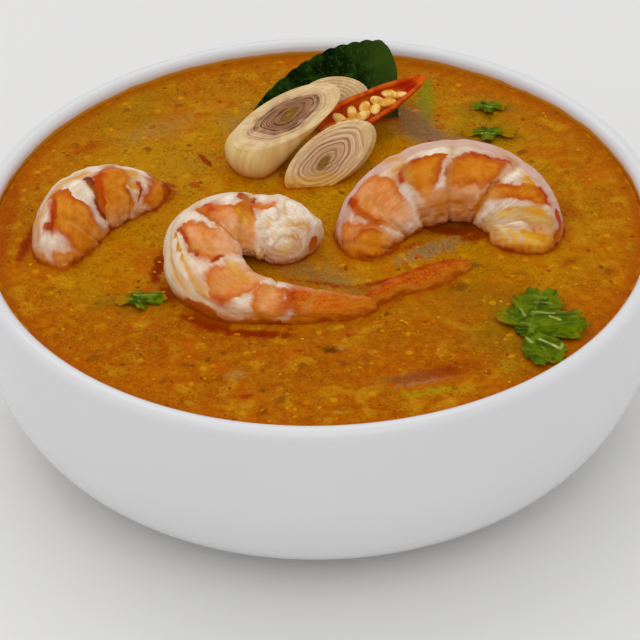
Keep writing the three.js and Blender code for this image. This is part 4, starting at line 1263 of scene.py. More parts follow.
def sheet_faces(rows, columns):
    """Faces of a closed sheet: a front grid, a back grid and the border between them."""
    half = rows * columns
    a = (np.arange(rows - 1)[:, None] * columns + np.arange(columns - 1)).ravel()
    faces = np.stack([a, a + 1, a + columns + 1, a + columns], axis=1).tolist()
    faces += np.stack([half + a, half + a + columns, half + a + columns + 1, half + a + 1],
                      axis=1).tolist()
    border = [
        *range(columns), *[(i + 1) * columns - 1 for i in range(1, rows)],
        *[half - 1 - j for j in range(1, columns)], *[i * columns for i in range(rows - 2, 0, -1)]]
    return faces + [(p, half + p, half + q, q) for p, q in zip(border, border[1:] + border[:1])]


columns, rows = 160, 60
x = np.tile(np.linspace(LEAF["left"], LEAF["right"], columns), rows)
share = np.repeat(np.linspace(0, 1, rows), columns)
up = -LEAF["sunk"] + (np.maximum(leaf_edge(x), 0.4) + LEAF["sunk"]) * share
rib_height = 3 + (x - LEAF["left"]) * 0.34
rib = bump(up - rib_height, 0.5)
vein_phase = (x - 0.9 * np.abs(up - rib_height)) / 2.6
vein_phase += 0.25 * lumps(np.stack([x, up], axis=1), 9, 51)
vein = bump((vein_phase % 1) - 0.5, 0.07) * step(np.abs(up - rib_height), 0.2, 1.5)
bend = (1.1 * np.sin(x * 0.17 + 0.6) * (up / LEAF["height"])
        + 0.35 * np.sin(x * 0.55 + up * 0.3) - 0.12 * vein + 0.2 * rib)
front, back = (xyz(x, up, bend + side * LEAF["thickness"] / 2) for side in (1, -1))
leaf_points = turned(np.vstack([front, back]), ("X", LEAF["lean"])) + LEAF["at"]
print("leaf height in mm:", round(float(up.max()), 1))

# %% [markdown]
# The blade is a very dark green with a soft gloss. It has a painted sheen, broad lighter patches
# towards its right end where the light falls, a mottling of 4 to 5 mm and pores of about 1 mm,
# which are drawn larger than real ones.

# %% Lime leaf finish
lime_green, tree, shader = new_material(
    "makrut_lime_leaf", Roughness=0.36, IOR=1.4, Specular_IOR_Level=0.05, Specular_Tint="#C8E090")
where = add(tree, "ShaderNodeTexCoord", out=3)
mottle, broad, pores = (
    add(tree, "ShaderNodeTexNoise",
        inputs={"Vector": where, "Scale": per_metre(size), "Detail": 4})
    for size in (4.55, 16.7, 1.11))
veins = add(tree, "ShaderNodeAttribute", {"attribute_name": "vein"}, out=2)
across_leaf = add(tree, "ShaderNodeSeparateXYZ", inputs=[where])
# Painted sheen: lighter green towards the leaf's right end, broken by broad noise.
painted_sheen = add(tree, "ShaderNodeMath", "MULTIPLY_ADD", [broad, 0.03, across_leaf])
colour = coats(
    tree, coat(tree, "#061602", "#1A3408", mottle, 0.4, 0.62),
    ("#3C5016", painted_sheen, 0.022, 0.036, 0.75),
    ("#40561C", pores, 0.52, 0.68, 0.45),
    ("#2C4610", veins, 0, 1, 0.75))
finish_surface(tree, shader, colour, mottle, 0.5, 0.0004)

# %% [markdown]
# The midrib is clear, and the side veins come and go, as on a leaf seen in soft light.

# %% Make the leaf
faint = 0.14 + 0.14 * lumps(np.stack([x, up], axis=1), 6, 52)
veins_value = np.tile(np.clip(0.5 * rib + faint * vein, 0, 1), 2)
leaf = new_piece(
    "lime_leaf_sheet", leaf_points, sheet_faces(rows, columns), lime_green, vein=veins_value)
keep(leaf, "lime_leaf", "lime_leaf")

# %% [markdown]
# ## Coriander
# A coriander leaf is a fan of round lobes with small teeth, joined at a short stalk. The
# outline is a few lobes round a centre, and a fine vein runs to the tip of each lobe. A flat
# cut-out would look like paper, so each leaf is a thin closed sheet that lifts and dips.
#
# A lobe is its direction in degrees, its length in millimetres and half its spread in
# degrees. `waist` is the least radius between lobes. `dry` is the oval that stands clear of
# the soup's film: x, y and two half sizes. `glints` are painted highlights, pale lines where
# the wet leaf would catch the light, with their strength, and `creases` are painted shade,
# dark lines where the leaf folds.

# %% Form of the coriander leaves
CORIANDER = {
    "coriander_right": {
        "at": (50, -46, 55.6), "tilt": (2, -2), "waist": 3.6, "dry": (5, 0, 13, 21),
        "lobes": [(74, 15.2, 48), (136, 9.4, 38), (4, 13.6, 46), (-72, 14.6, 42)],
        "glints": [(0.8, [(-1.5, 7.1), (-0.8, 4.2)]),
                   (0.9, [(1.0, 5.6), (3.6, 5.1), (6.2, 4.6)]),
                   (1.4, [(5.2, 3.6), (7.4, 1.6)]),
                   (2.0, [(2.1, -4.9), (4.2, -6.2), (6.2, -7.8)]),
                   (1.3, [(-0.9, -4.4), (0.1, -6.0)]), (1.3, [(6.6, -8.2), (8.2, -5.5)]),
                   (0.8, [(2.0, 12.2), (4.6, 10.5)]), (0.6, [(2.1, 9.4), (6.1, 8.4)])],
        "creases": [[(-2.4, 1.9), (0.4, 4.2), (4.3, 4.5), (8, 3.6)],
                    [(1.4, -5.8), (3.8, -7.9), (8.1, -7.1)],
                    [(4.8, -12.3), (6.1, -13.9)], [(-4.7, 6.0), (-3.1, 8.3)]],
    },
    "coriander_left": {
        "at": (-44.3, -31.3, 55.4), "tilt": (0, 2), "waist": 2.6, "dry": (2, -0.4, 5.2, 3.9),
        "lobes": [(10, 7, 45), (185, 5.5, 35), (95, 4.2, 40), (-70, 4.2, 42)],
        "glints": [(2.0, [(-4.4, -2.0), (-3.2, -1.4)]), (0.6, [(-1, 1.2), (2, 1.5), (4.5, 1)])],
        "creases": [[(-2, -2.2), (2, -1.6), (5.5, -1.8)]],
    },
    "coriander_back_a": {
        "at": (46.2, 52.6, 55.5), "tilt": (1, 0), "waist": 2.4, "dry": (0, -1.2, 4.4, 3.4),
        "lobes": [(5, 5.2, 45), (175, 4.6, 40), (80, 4, 40), (-85, 3.6, 40)],
        "glints": [(0.8, [(-0.6, -0.6), (1.2, -0.8)])], "creases": [],
    },
    "coriander_back_b": {
        "at": (45.5, 39.8, 55.6), "tilt": (0, -1), "waist": 2.8, "dry": (-0.3, -1.6, 4.6, 3.8),
        "lobes": [(-5, 7.5, 32), (172, 7, 32), (75, 4.4, 36), (-95, 4.8, 40)],
        "glints": [(0.8, [(-1.6, -0.8), (1.6, -1.2)])], "creases": [],
    },
}


def lobe_offsets(leaf, angle):
    """For each lobe, how far a direction is from its middle, as a share of its half angle."""
    off = angle[None, :] - np.radians([lobe[0] for lobe in leaf["lobes"]])[:, None]
    spread = np.radians([lobe[2] for lobe in leaf["lobes"]])[:, None]
    return np.abs(np.arctan2(np.sin(off), np.cos(off))) / spread


def coriander_radius(leaf, angle):
    """How far the leaf reaches in each direction."""
    lengths = np.array([lobe[1] for lobe in leaf["lobes"]])[:, None]
    reach = (lengths * np.clip(1 - lobe_offsets(leaf, angle) ** 2.4, 0, 1) ** 0.6).max(axis=0)
    teeth = 1 + 0.05 * np.cos(angle * 17) + 0.03 * np.cos(angle * 41 + 1)
    return np.maximum(leaf["waist"], reach * teeth)


reach = coriander_radius(CORIANDER["coriander_right"], np.linspace(0, TURN, 90))
print("front leaf reaches", round(float(reach.max()), 1), "mm")

# %% [markdown]
# A coriander leaf is thin, fresh green and nearly matt where it is dry. The film of soup
# turns its edges ochre. Veins are paler, and above a strength of 1 they are painted glints,
# pale highlights where the wet leaf would catch the light. Folds are painted darker, as shade.

# %% Coriander finish
herb_green, tree, shader = new_material(
    "coriander_leaf", Roughness=0.4, IOR=1.4, Specular_IOR_Level=0.04, Specular_Tint="#E0E090")
where = add(tree, "ShaderNodeTexCoord", out=3)
mottle = add(
    tree, "ShaderNodeTexNoise", inputs={"Vector": where, "Scale": per_metre(3.33), "Detail": 4})
veins, film, fold = (
    add(tree, "ShaderNodeAttribute", {"attribute_name": name}, out=2)
    for name in ("vein", "film", "fold"))
# Painted shade in the folds, then pale veins with the weaker painted glints, then the strongest
# painted glints, then the film of soup.
colour = coats(
    tree, coat(tree, "#465A00", "#687800", mottle, 0.35, 0.65), ("#243A00", fold, 0, 1, 0.7),
    ("#96A44A", veins), ("#CCC2A4", veins, 1.1, 2), ("#A87404", film))
finish_surface(tree, shader, colour, mottle, 0.4, 0.0003)

# %% [markdown]
# Each leaf is a fan of rings, first the underside from the middle out and then the top back
# in. Slow waves lift the blade, and it thins towards its edge.

# %% Make the coriander leaves
def make_coriander(name, sides, steps, thickness):
    """One leaf with its veins, painted glints, painted shade in its folds and film of soup. The
    thickness is in mm.
    """
    leaf = CORIANDER[name]
    angle = np.linspace(0, TURN, sides, endpoint=False)
    shares = np.linspace(1 / steps, 1, steps)
    edge = coriander_radius(leaf, angle)
    offsets = lobe_offsets(leaf, angle)
    near_lobe = offsets.min(axis=0)
    layers = []
    for side, order in ((-1, shares), (1, shares[::-1])):
        for share in order:
            radius = share * edge
            fan = np.sin(near_lobe * 9) * 0.2 * share
            lift = (0.35 * share * np.sin(3 * angle + 0.7)
                    + 0.25 * share ** 2 * np.sin(7 * angle) + fan)
            thin = thickness / 2 * (1 - 0.7 * share ** 8)
            vein = np.maximum(bump(near_lobe * radius, 0.3 + 0.2 * (1 - share)),
                              0.6 * bump(((near_lobe * 4 - share * 5) % 1) - 0.5, 0.1) * share)
            layers.append(np.stack([radius * np.cos(angle), radius * np.sin(angle),
                                    lift + side * thin, vein, np.full(sides, share),
                                    step(near_lobe, 0.62, 1.05)], axis=1))
    rows = np.vstack(
        [[(0, 0, -thickness / 2, 1, 0, 0)], *layers, [(0, 0, thickness / 2, 1, 0, 0)]])
    points = turned(rows[:, :3], ("Y", leaf["tilt"][1]), ("X", leaf["tilt"][0])) + leaf["at"]
    ragged = lumps(points, 3, 31)
    wet = step(rows[:, 4] + 0.1 * ragged, 0.9, 1.05) * 0.4
    x, y, half_x, half_y = leaf["dry"]
    from_dry = np.hypot((rows[:, 0] - x) / half_x, (rows[:, 1] - y) / half_y)
    wet = np.maximum(wet, 0.9 * step(from_dry + 0.14 * ragged, 0.72, 1.12))
    ribs = bump(((rows[:, 1] + 0.25 * rows[:, 0] + 0.7 * lumps(points, 7, 33)) / 1.9 % 1) - 0.5,
                0.09) * step(lumps(points, 6, 34), -0.3, 0.6)
    veins = 0.25 * rows[:, 3] + 0.35 * ribs
    # Painted highlights: pale glints along wet edges go into the vein value, the strongest above
    # 1.
    for strength, path in leaf["glints"]:
        off = distance_to_path(rows[:, :2], np.array(path), False) + 0.12 * ragged
        veins = np.maximum(veins, strength * bump(np.maximum(off, 0), 0.35))
    # Painted shade: darker between the lobes, in broad patches and along the folds.
    shadow = np.clip(rows[:, 5] + 0.8 * step(lumps(points, 4, 35), 0.1, 0.9), 0, 1)
    for path in leaf["creases"]:
        off = distance_to_path(rows[:, :2], np.array(path), False) + 0.15 * ragged
        shadow = np.maximum(shadow, 1.2 * bump(np.maximum(off, 0), 0.5))
    piece = new_piece(name + "_leaf", points, skin_faces(2 * steps, sides), herb_green,
                      vein=veins, film=wet, fold=shadow)
    return keep(piece, "coriander", name)


herbs = [make_coriander(name, sides=260, steps=36, thickness=0.5) for name in CORIANDER]

# %% [markdown]
# ## The broth
# The broth is thick with chilli paste, prawn fat and coconut or evaporated milk, so it is
# cloudy ochre with a skin of orange oil. The oil gathers where the surface meets something:
# a dark red ring at the bowl's wall and a thin line round each prawn. So the distance to the
# nearest thing in the soup is measured, with a search tree over each piece. The Geometry
# Proximity node could do it too, but the script needs the value itself.

# %% Distance to what lies in the soup
sunken = prawns + slices + [leaf] + herbs
search = []
for piece in sunken:
    mesh = piece.data
    places = np.empty(len(mesh.vertices) * 3, dtype=np.float32)
    mesh.vertices.foreach_get("co", places)
    polygons = [tuple(face.vertices) for face in mesh.polygons]
    tree_points = [Vector(p) for p in places.reshape(-1, 3).tolist()]
    search.append(BVHTree.FromPolygons(tree_points, polygons))


def distance_to_garnish(points, reach=10.0):
    """Distance in mm from points on the soup to the nearest piece, at most `reach`."""
    found = np.full(len(points), reach)
    for i, point in enumerate(points.tolist()):
        spot = Vector(point) * MM
        for near in search:
            hit = near.find_nearest(spot, found[i] * MM)
            if hit[0] is not None:
                found[i] = min(found[i], hit[3] / MM)
    return found


print("pieces in the soup:", len(search))

# %% [markdown]
# The top of the broth is a polar grid that climbs half a millimetre at every edge, as a
# liquid does. Its side follows the inside of the bowl.

# %% The soup's own grid
SOUP_RADIUS = BOWL["rim_radius"] - BOWL["lip"] - GAP
SOUP_SIDES, SOUP_RINGS = 400, 110
start, end = (BOWL["floor_radius"], BOWL["floor_height"] + GAP), (SOUP_RADIUS, lip_height)
rise_share = (SOUP_LEVEL - start[1]) / (end[1] - start[1])
until = math.acos((1 - rise_share) ** (BOWL["inner_power"] / 2))
soup_wall = wall_curve(start, end, BOWL["inner_power"], 24, until)
top_radius = soup_wall[-1, 0]
turn = np.linspace(0, TURN, SOUP_SIDES, endpoint=False)
top_radii = top_radius * np.linspace(1, 0, SOUP_RINGS + 1)[1:-1]
top = np.vstack([xyz(r * np.cos(turn), r * np.sin(turn), SOUP_LEVEL) for r in top_radii])
contact = distance_to_garnish(top)
radius = np.hypot(top[:, 0], top[:, 1])
top[:, 2] += 0.55 * bump(contact, 1.0) + 0.45 * bump(top_radius - radius, 1.1)
top[:, 2] += 0.05 * lumps(top[:, :2], 5, 41) + 0.05 * lumps(top[:, :2], 1.7, 42)
print("closest point:", round(float(contact.min()), 2), "mm")

# %% [markdown]
# Things that are sunk just under the surface only tint it: pale mushrooms, strips of spring
# onion, pieces of chilli, and pools of oil. Real pieces in a cloudy volume would look much
# the same and take far longer to render, so each is a soft oval, in millimetres. Two bright
# ovals are painted light instead: pools of light on the broth beside the lemongrass and under
# the middle prawn's head.

# %% What shows through the surface, and painted light
BENEATH_AND_LIGHT = [
    # x, y, half length, half width, turn in degrees, colour, strength
    (25, 48, 19, 6, -58, "#8A6A48", 0.75), (33, 37, 9, 5, -40, "#86664A", 0.7),
    (0, -21.5, 15, 5, -28, "#9C7438", 0.7), (28, -11.5, 11, 3.2, 28, "#9A7A4E", 0.8),
    (-18, 44, 12, 5, -50, "#A07A3E", 0.6), (-42, 46, 12, 5, 30, "#A67C34", 0.55),
    (-30, 30, 10, 5, 10, "#A8801E", 0.4), (-14, 57, 10, 4, 10, "#A07428", 0.45),
    (30, 59, 13, 2.6, 88, "#8E8A0E", 0.95), (25.5, -68.2, 8.5, 1.8, 10, "#AE8A08", 0.9),
    (22.5, -62.5, 9, 2.6, 14, "#8C4A24", 0.75), (24, -64.6, 7, 0.6, 14, "#B4866A", 0.6),
    (-45, -31, 12, 6, 0, "#6E6408", 0.55), (47, -47, 15, 15, 0, "#7E7408", 0.5),
    (46, 52, 9, 7, 0, "#6A7210", 0.5), (46, 40, 10, 6, 0, "#6A7210", 0.55),
    (2.5, -51.6, 2.4, 1.5, -10, "#5E3204", 0.95), (-13.8, -74.4, 1.6, 2, 0, "#7C4206", 0.8),
    (-23.2, -51.9, 1.2, 0.8, 0, "#6E3E06", 0.8), (-26.7, -54.5, 0.8, 1.4, 0, "#5A3808", 0.85),
    (34.3, -17, 2, 1, -5, "#3C2A06", 0.95), (38, -18.5, 2.4, 1, 0, "#5E5020", 0.8),
    (34, -27.5, 2.6, 1.9, 20, "#7A4A06", 0.85), (-17.8, -68.4, 2.2, 1.2, 0, "#9C3004", 0.9),
    (-20.2, -60.4, 3, 2, 0, "#B9823C", 0.7), (-17.5, -52.1, 1.2, 0.9, 0, "#C68A0A", 0.9),
    (3.6, -43, 2.4, 1, 10, "#C48E10", 0.8), (4.2, -75, 3, 0.8, 0, "#C08C14", 0.8),
    (9, -47, 2, 1, 0, "#BE8A0C", 0.7), (5, -51, 1.2, 0.7, 0, "#C08448", 0.7),
    (-8, -69, 10, 2.5, 0, "#BC7806", 0.4), (14, -66, 6, 3, 0, "#B07604", 0.4),
    (-43, 33, 15, 10, 20, "#BC8208", 0.6), (-50, 57, 24, 12, 30, "#A07604", 0.6),
    # Painted light: the bright yellow oval at -13, 22.5 lifts the broth beside the lemongrass
    # slices.
    (-13, 22.5, 5, 3.5, 40, "#D8A224", 0.6), (40, -31, 14, 9, 10, "#966004", 0.6),
    # Painted light: the bright orange oval at -5.2, -17.8 stands for reflections in the film under
    # the middle prawn's head.
    (42, -16, 12, 7, 0, "#AE7402", 0.5), (-5.2, -17.8, 7, 2.2, 8, "#E08A10", 0.9),
]
OIL = [
    # x, y, half length, half width, turn in degrees, strength of the dark red oil
    (-40, -17, 8, 1.6, 84, 1.0), (-37, -28.5, 6, 1.6, 112, 0.8), (-27.5, -39.8, 8, 2.8, 150, 1.1),
    (-15, -44.8, 10, 1.7, 175, 1.0), (-73.5, -6, 9, 2.0, 80, 0.8), (-79, 4, 34, 3, 88, 0.42),
    (34, -3.6, 8, 2.6, 0, 0.85), (22, -10.5, 8, 1.4, 30, 0.5), (40, -6.4, 6, 2.2, 20, 0.7),
    (-29.5, 31, 4, 1.0, 120, 0.8), (3, -25.5, 16, 1.2, -14, 0.5), (20, -24, 14, 1.2, 12, 0.8),
    (-41, 18.5, 6, 2, 10, 0.8), (-60, 38, 6, 3, 40, 0.45), (44, -30, 6, 2, -20, 0.2),
    (62, -18, 4, 2.2, 30, 0.5), (62, 5, 8, 6, 90, 0.45), (30, -60, 9, 3, 15, 0.5),
]


def along_and_across(points, x, y, turn):
    """Places of points along and across an arrow at x, y that is turned by radians."""
    dx, dy = points[:, 0] - x, points[:, 1] - y
    return dx * math.cos(turn) + dy * math.sin(turn), dy * math.cos(turn) - dx * math.sin(turn)


def oval_cover(points, x, y, half_long, half_wide, degrees, soft=0.8):
    """How much an oval with ragged, soft edges covers each point."""
    u, v = along_and_across(points, x, y, math.radians(degrees))
    u, v = u / half_long, v / half_wide
    ragged = 0.22 * lumps(points[:, :2], 1.2 * half_wide + 1, int(abs(x * 7 + y * 3)))
    return 1 - step(np.hypot(u, v) + ragged, 1 - soft, 1 + soft * 0.6)


beneath = np.zeros((len(top), 4))
for x, y, half_long, half_wide, degrees, hex_colour, strength in BENEATH_AND_LIGHT:
    cover = strength * oval_cover(top, x, y, half_long, half_wide, degrees)
    left = cover * (1 - beneath[:, 3])
    beneath[:, :3] += left[:, None] * np.array(linear(hex_colour)[:3])
    beneath[:, 3] += left
beneath[:, :3] /= np.maximum(beneath[:, 3:], 1e-6)
oil = np.zeros(len(top))
for x, y, half_long, half_wide, degrees, strength in OIL:
    oil = np.maximum(oil, strength * oval_cover(top, x, y, half_long, half_wide, degrees))
print("tinted:", round(float((beneath[:, 3] > 0.1).mean()), 2))

# %% [markdown]
# The biggest flecks stand a little proud of the surface, so they are raised in the grid. They
# have the same places as on the solid broth, from the same random rule, and keep clear of
# each other and of what lies in the soup. Each area to keep out of is x, y and a radius.

# %% Raised flecks
FLECKS = {"count": 16, "radius": (0.8, 1.5), "stretch": 1.3, "height": 0.45, "spacing": 7,
          "reach": 76, "seed": 41,
          "keep_out": [(31, -1, 36), (-19, -22, 30), (-55, 4, 26), (3, 38, 36), (30, -27, 18),
                       (-44, -30, 10), (50, -44, 20), (46, 54, 9), (45, 40, 11), (3, -35, 12)]}
draw = random_from(FLECKS["seed"])
flecks = []
while len(flecks) < FLECKS["count"]:
    angle = TURN * next(draw)
    out = FLECKS["reach"] * math.sqrt(next(draw))
    x, y = out * math.cos(angle), out * math.sin(angle)
    low, high = FLECKS["radius"]
    size = low + (high - low) * next(draw)
    blocked = [(cx, cy, reach + size) for cx, cy, reach in FLECKS["keep_out"]]
    blocked += [(fx, fy, FLECKS["spacing"]) for fx, fy, _, _ in flecks]
    if all(math.hypot(x - cx, y - cy) > reach for cx, cy, reach in blocked):
        flecks.append((x, y, size, angle))
fleck_tone = np.zeros(len(top))
for x, y, size, angle in flecks:
    u, v = along_and_across(top, x, y, angle)
    inside_fleck = np.clip(1 - (u / (size * FLECKS["stretch"])) ** 2 - (v / size) ** 2, 0, 1)
    top[:, 2] += FLECKS["height"] * np.sqrt(inside_fleck)
    fleck_tone = np.maximum(fleck_tone, step(inside_fleck, 0.0, 0.3))
print("flecks:", [(round(x), round(y)) for x, y, _, _ in flecks[:4]], "...")

# %% [markdown]
# Broth is water with a skin of oil, so its IOR is that of water and its gloss warm and soft.
# Its colour has clouds of more or less oil a few centimetres wide, blobs of 6 to 8 mm, curds
# of 3 mm and grains of paste of a millimetre and less. Specks come from cells of 2 to 4 mm,
# of which only some hold one. Places are in metres from the middle of the bowl.

# %% Broth finish
broth_look, tree, shader = new_material(
    "tom_yum_broth", Roughness=0.25, IOR=1.33, Specular_IOR_Level=0.03, Specular_Tint="#FF9A30")
where = add(tree, "ShaderNodeTexCoord", out=3)
clouds, curds, grains, fine, blobs, warm = (
    add(tree, "ShaderNodeTexNoise", inputs={"Vector": where, "Scale": per_metre(size),
                                            "Detail": detail, "Roughness": rough})
    for size, detail, rough in ((26.3, 2, 0.6), (3.03, 3, 0.6), (0.87, 2, 0.6), (0.5, 1, 0.6),
                                (5.88, 1, 0.5), (8.33, 1, 0.5)))
towards_back = add(tree, "ShaderNodeSeparateXYZ", inputs=[where], out=1)
flat = add(tree, "ShaderNodeVectorMath", "MULTIPLY", [where, (1, 1, 0)])
off_middle = add(tree, "ShaderNodeVectorMath", "LENGTH", [flat], out=1)
through, cover = (
    add(tree, "ShaderNodeAttribute", {"attribute_name": "beneath"}, out=out) for out in (0, 3))
colour = coats(
    tree, coat(tree, "#B88204", "#BE7400", clouds, 0.38, 0.62),
    ("#AC5600", towards_back, -0.014, -0.05, 0.92),     # more oil at the front
    ("#B65E00", off_middle, 0.058, 0.079, 0.8),         # and towards the wall
    ("#C6860A", curds, 0.44, 0.7, 0.45),
    ("#924C00", curds, 0.46, 0.3, 0.45),
    ("#CC8E10", blobs, 0.56, 0.7, 0.6),
    ("#BC5800", warm, 0.56, 0.72, 0.55),
    (through, cover),
    ("#8A4400", grains, 0.5, 0.34, 0.35),
    ("#D08A0C", grains, 0.54, 0.7, 0.3))
dusty = add(tree, "ShaderNodeMapRange", inputs=[warm, 0.55, 0.38, 0.12, 0.6])
colour = coat(tree, colour, "#643400", fine, 0.47, 0.33, dusty)
SPECKS = [                    # cell in mm, share of cells with a speck, speck's part, colour
    (3.33, 0.05, 0.22, "#6A3800"), (2.33, 0.04, 0.24, "#8A2E00"),
    (1.92, 0.08, 0.24, "#D2900C"), (3.03, 0.09, 0.28, "#D08C0A"),
    (4.17, 0.05, 0.24, "#C05200"),
]
push = add(tree, "ShaderNodeTexNoise",
           inputs={"Vector": where, "Scale": per_metre(1.43), "Detail": 1}, out=1)
bent = add(tree, "ShaderNodeVectorMath", "MULTIPLY_ADD", [push, (0.0009, 0.0009, 0.0009), where])
for cell, share, size, hex_colour in SPECKS:
    distance, cell_colour = (add(tree, "ShaderNodeTexVoronoi",
                                 inputs={"Vector": bent, "Scale": per_metre(cell)}, out=out)
                             for out in ("Distance", "Color"))
    chosen = add(tree, "ShaderNodeSeparateColor", inputs=[cell_colour])
    lucky = add(tree, "ShaderNodeMath", "LESS_THAN", [chosen, share])
    lucky = add(tree, "ShaderNodeMath", "MULTIPLY", [lucky, 0.85])
    colour = coat(tree, colour, hex_colour, distance, size + 0.1, size - 0.1, lucky)
raised, oil_paint, touch = (
    add(tree, "ShaderNodeAttribute", {"attribute_name": name}, out=2)
    for name in ("fleck", "oil", "contact"))
for pattern, strength in ((curds, 0.5), (fine, 0.8)):
    oil_paint = add(tree, "ShaderNodeMath", "MULTIPLY_ADD", [pattern, strength, oil_paint])
red_oil = coat(tree, "#A64200", "#821A00", oil_paint, 0.75, 1.6)
colour = coats(tree, colour, ("#8C4C08", raised, 0, 1, 0.8), (red_oil, oil_paint, 0.74, 1.3, 0.88))
ring = add(tree, "ShaderNodeMath", "MULTIPLY_ADD", [curds, 0.003, off_middle])
touch_line = add(tree, "ShaderNodeMath", "MULTIPLY_ADD", [curds, 1.6, touch])
colour = coats(
    tree, colour,
    ("#A64C00", ring, 0.0798, 0.0832, 0.65),            # oil along the wall
    # The dark ring is oil. The thin bright line at its very edge is a painted highlight, light
    # caught on the oil's meniscus at the wall.
    ("#D08208", ring, 0.0829, 0.0838, 0.9),             # and the thin bright edge of it
    ("#A44E00", touch, 2.2, 0.1, 0.5),                  # oil round what lies in the soup
    ("#8A2200", touch_line, 1.5, 0.8, 0.7))
relief = add(tree, "ShaderNodeMath", "MULTIPLY_ADD", [grains, 0.4, curds])
finish_surface(tree, shader, colour, relief, 0.25, 0.0006)

# %% [markdown]
# The broth is one closed skin, from the middle of its floor up the wall to the middle of
# its top. Values are only worked out for the top, so the wall gets a constant.

# %% Make the broth
rings = np.vstack([xyz(r * np.cos(turn), r * np.sin(turn), z) for r, z in soup_wall])
below = len(rings) + 1
points = np.vstack([[(0, 0, start[1])], rings, top, [(0, 0, SOUP_LEVEL)]])


def with_wall(values, elsewhere):
    """A value for the whole broth from the values of its top."""
    before, after = (
        np.full((count, *values.shape[1:]), elsewhere, dtype=float) for count in (below, 1))
    return np.concatenate([before, values, after])


faces = skin_faces(len(soup_wall) + len(top_radii), SOUP_SIDES)
soup = new_piece(
    "broth_surface", points, faces, broth_look, contact=with_wall(contact, 10),
    oil=with_wall(oil, 0), fleck=with_wall(fleck_tone, 0), beneath=with_wall(beneath, 0))
keep(soup, "broth", "broth")

# %% [markdown]
# ## Loose flecks and oil
# Grains of chilli, garlic and shrimp paste float on the broth with drops of oil. A Geometry
# Nodes tree scatters one small shape over the top of the broth, away from the garnish and
# the wall, and turns, sizes and flattens each grain. Placing them by hand would take hours.

# %% Scatter tree
SCATTER_RADIUS = 79.5         # in mm, short of the oil along the wall
LOWEST_SPOT = 54              # in mm, so that only the top of the broth is used
scattering, given = new_tree("scatter_on_broth", [
    ("Density", "NodeSocketFloat"), ("Smallest", "NodeSocketFloat"),
    ("Largest", "NodeSocketFloat"), ("Flatness", "NodeSocketFloat"), ("Seed", "NodeSocketInt"),
    ("Clearance", "NodeSocketFloat"), ("Material", "NodeSocketMaterial")])
free = add(
    scattering, "GeometryNodeInputNamedAttribute", {"data_type": "FLOAT"}, {"Name": "contact"})
clear = add(scattering, "FunctionNodeCompare", "GREATER_THAN", [free, given["Clearance"]])
spot = add(scattering, "GeometryNodeInputPosition")
flat = add(scattering, "ShaderNodeVectorMath", "MULTIPLY", [spot, (1, 1, 0)])
reach = add(scattering, "ShaderNodeVectorMath", "LENGTH", [flat], out=1)
in_bowl = add(scattering, "FunctionNodeCompare", "LESS_THAN", [reach, SCATTER_RADIUS * MM])
high = add(scattering, "ShaderNodeSeparateXYZ", inputs=[spot], out=2)
on_top = add(scattering, "FunctionNodeCompare", "GREATER_THAN", [high, LOWEST_SPOT * MM])
here = add(scattering, "FunctionNodeBooleanMath", "AND", [clear, in_bowl])
here = add(scattering, "FunctionNodeBooleanMath", "AND", [here, on_top])
spots = add(scattering, "GeometryNodeDistributePointsOnFaces",
            inputs={"Mesh": given["Geometry"], "Selection": here, "Density": given["Density"],
                    "Seed": given["Seed"]})
grain_shape = add(
    scattering, "GeometryNodeMeshUVSphere", inputs={"Segments": 8, "Rings": 5, "Radius": 1})
size = add(scattering, "FunctionNodeRandomValue", {"data_type": "FLOAT"},
           {2: given["Smallest"], 3: given["Largest"], "Seed": given["Seed"]}, out=1)
longer = add(scattering, "FunctionNodeRandomValue", {"data_type": "FLOAT"},
             {2: 0.6, 3: 1.5, "Seed": 5}, out=1)
length = add(scattering, "ShaderNodeMath", "MULTIPLY", [size, longer])
height = add(scattering, "ShaderNodeMath", "MULTIPLY", [size, given["Flatness"]])
shape = add(scattering, "ShaderNodeCombineXYZ", inputs=[length, size, height])
spin = add(scattering, "FunctionNodeRandomValue", {"data_type": "FLOAT"},
           {2: 0.0, 3: TURN, "Seed": 9}, out=1)
spin = add(scattering, "ShaderNodeCombineXYZ", inputs={2: spin})
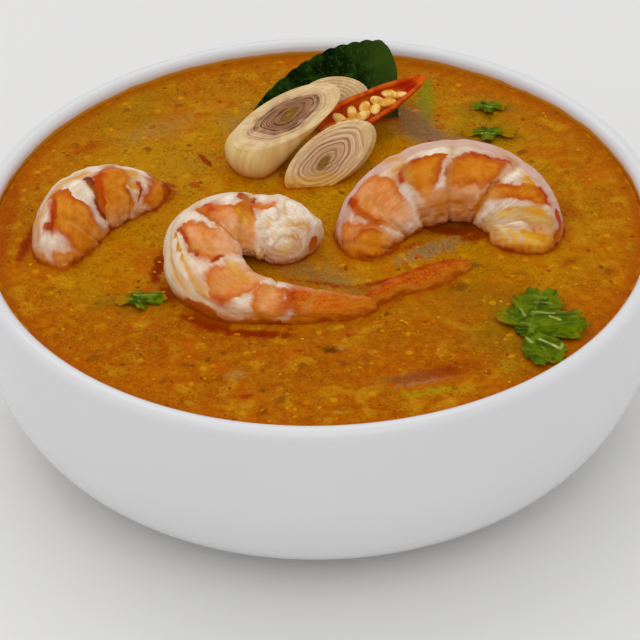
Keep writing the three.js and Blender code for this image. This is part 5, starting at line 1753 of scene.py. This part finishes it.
grains_placed = add(
    scattering, "GeometryNodeInstanceOnPoints",
    inputs={"Points": spots, "Instance": grain_shape, "Rotation": spin, "Scale": shape})
end_tree(scattering, grains_placed, given["Material"])
print("scatter tree:", len(scattering.nodes), "nodes")

# %% [markdown]
# Each kind of grain is one piece: dark chilli flakes, pale garlic and paste, and flat drops
# of clear orange oil that catch the light. Density counts grains per square metre, and sizes
# are in metres. The colour noise is wider than a grain, so whole grains differ.

# %% Make the flecks
def speck_material(name, dark, light, roughness, size):
    """A material whose colour changes from grain to grain."""
    material, tree, shader = new_material(
        name, Roughness=roughness, Specular_IOR_Level=0.02, Specular_Tint="#FF9A30")
    where = add(tree, "ShaderNodeTexCoord", out=3)
    tone = add(tree, "ShaderNodeTexNoise",
               inputs={"Vector": where, "Scale": per_metre(size), "Detail": 2})
    finish_surface(tree, shader, coat(tree, dark, light, tone, 0.35, 0.65), tone, 0.05, 0.0002)
    return material


SCATTER = {
    "chilli_flakes": (speck_material("dried_chilli_flake", "#6E3200", "#A44600", 0.4, 4.55),
                      {"Density": 6000.0, "Smallest": 0.0002, "Largest": 0.0005,
                       "Flatness": 0.35, "Seed": 3, "Clearance": 1.6}),
    "paste_grains": (speck_material("shrimp_paste_grain", "#C07E06", "#DC9C1C", 0.4, 3.85),
                     {"Density": 6000.0, "Smallest": 0.0002, "Largest": 0.0005,
                      "Flatness": 0.3, "Seed": 11, "Clearance": 1.2}),
    "oil_drops": (speck_material("chilli_oil_drop", "#B05200", "#C87400", 0.12, 11.1),
                  {"Density": 5000.0, "Smallest": 0.0004, "Largest": 0.0013,
                   "Flatness": 0.1, "Seed": 19, "Clearance": 1.6}),
}
for name, (material, values) in SCATTER.items():
    scattered = grown(name, soup, scattering, Material=material, **values)
    scattered.data.materials.clear()
    scattered.data.materials.append(material)
    for attribute in ("contact", "oil", "fleck", "beneath"):
        if attribute in scattered.data.attributes:
            scattered.data.attributes.remove(scattered.data.attributes[attribute])
    keep(scattered, "broth")
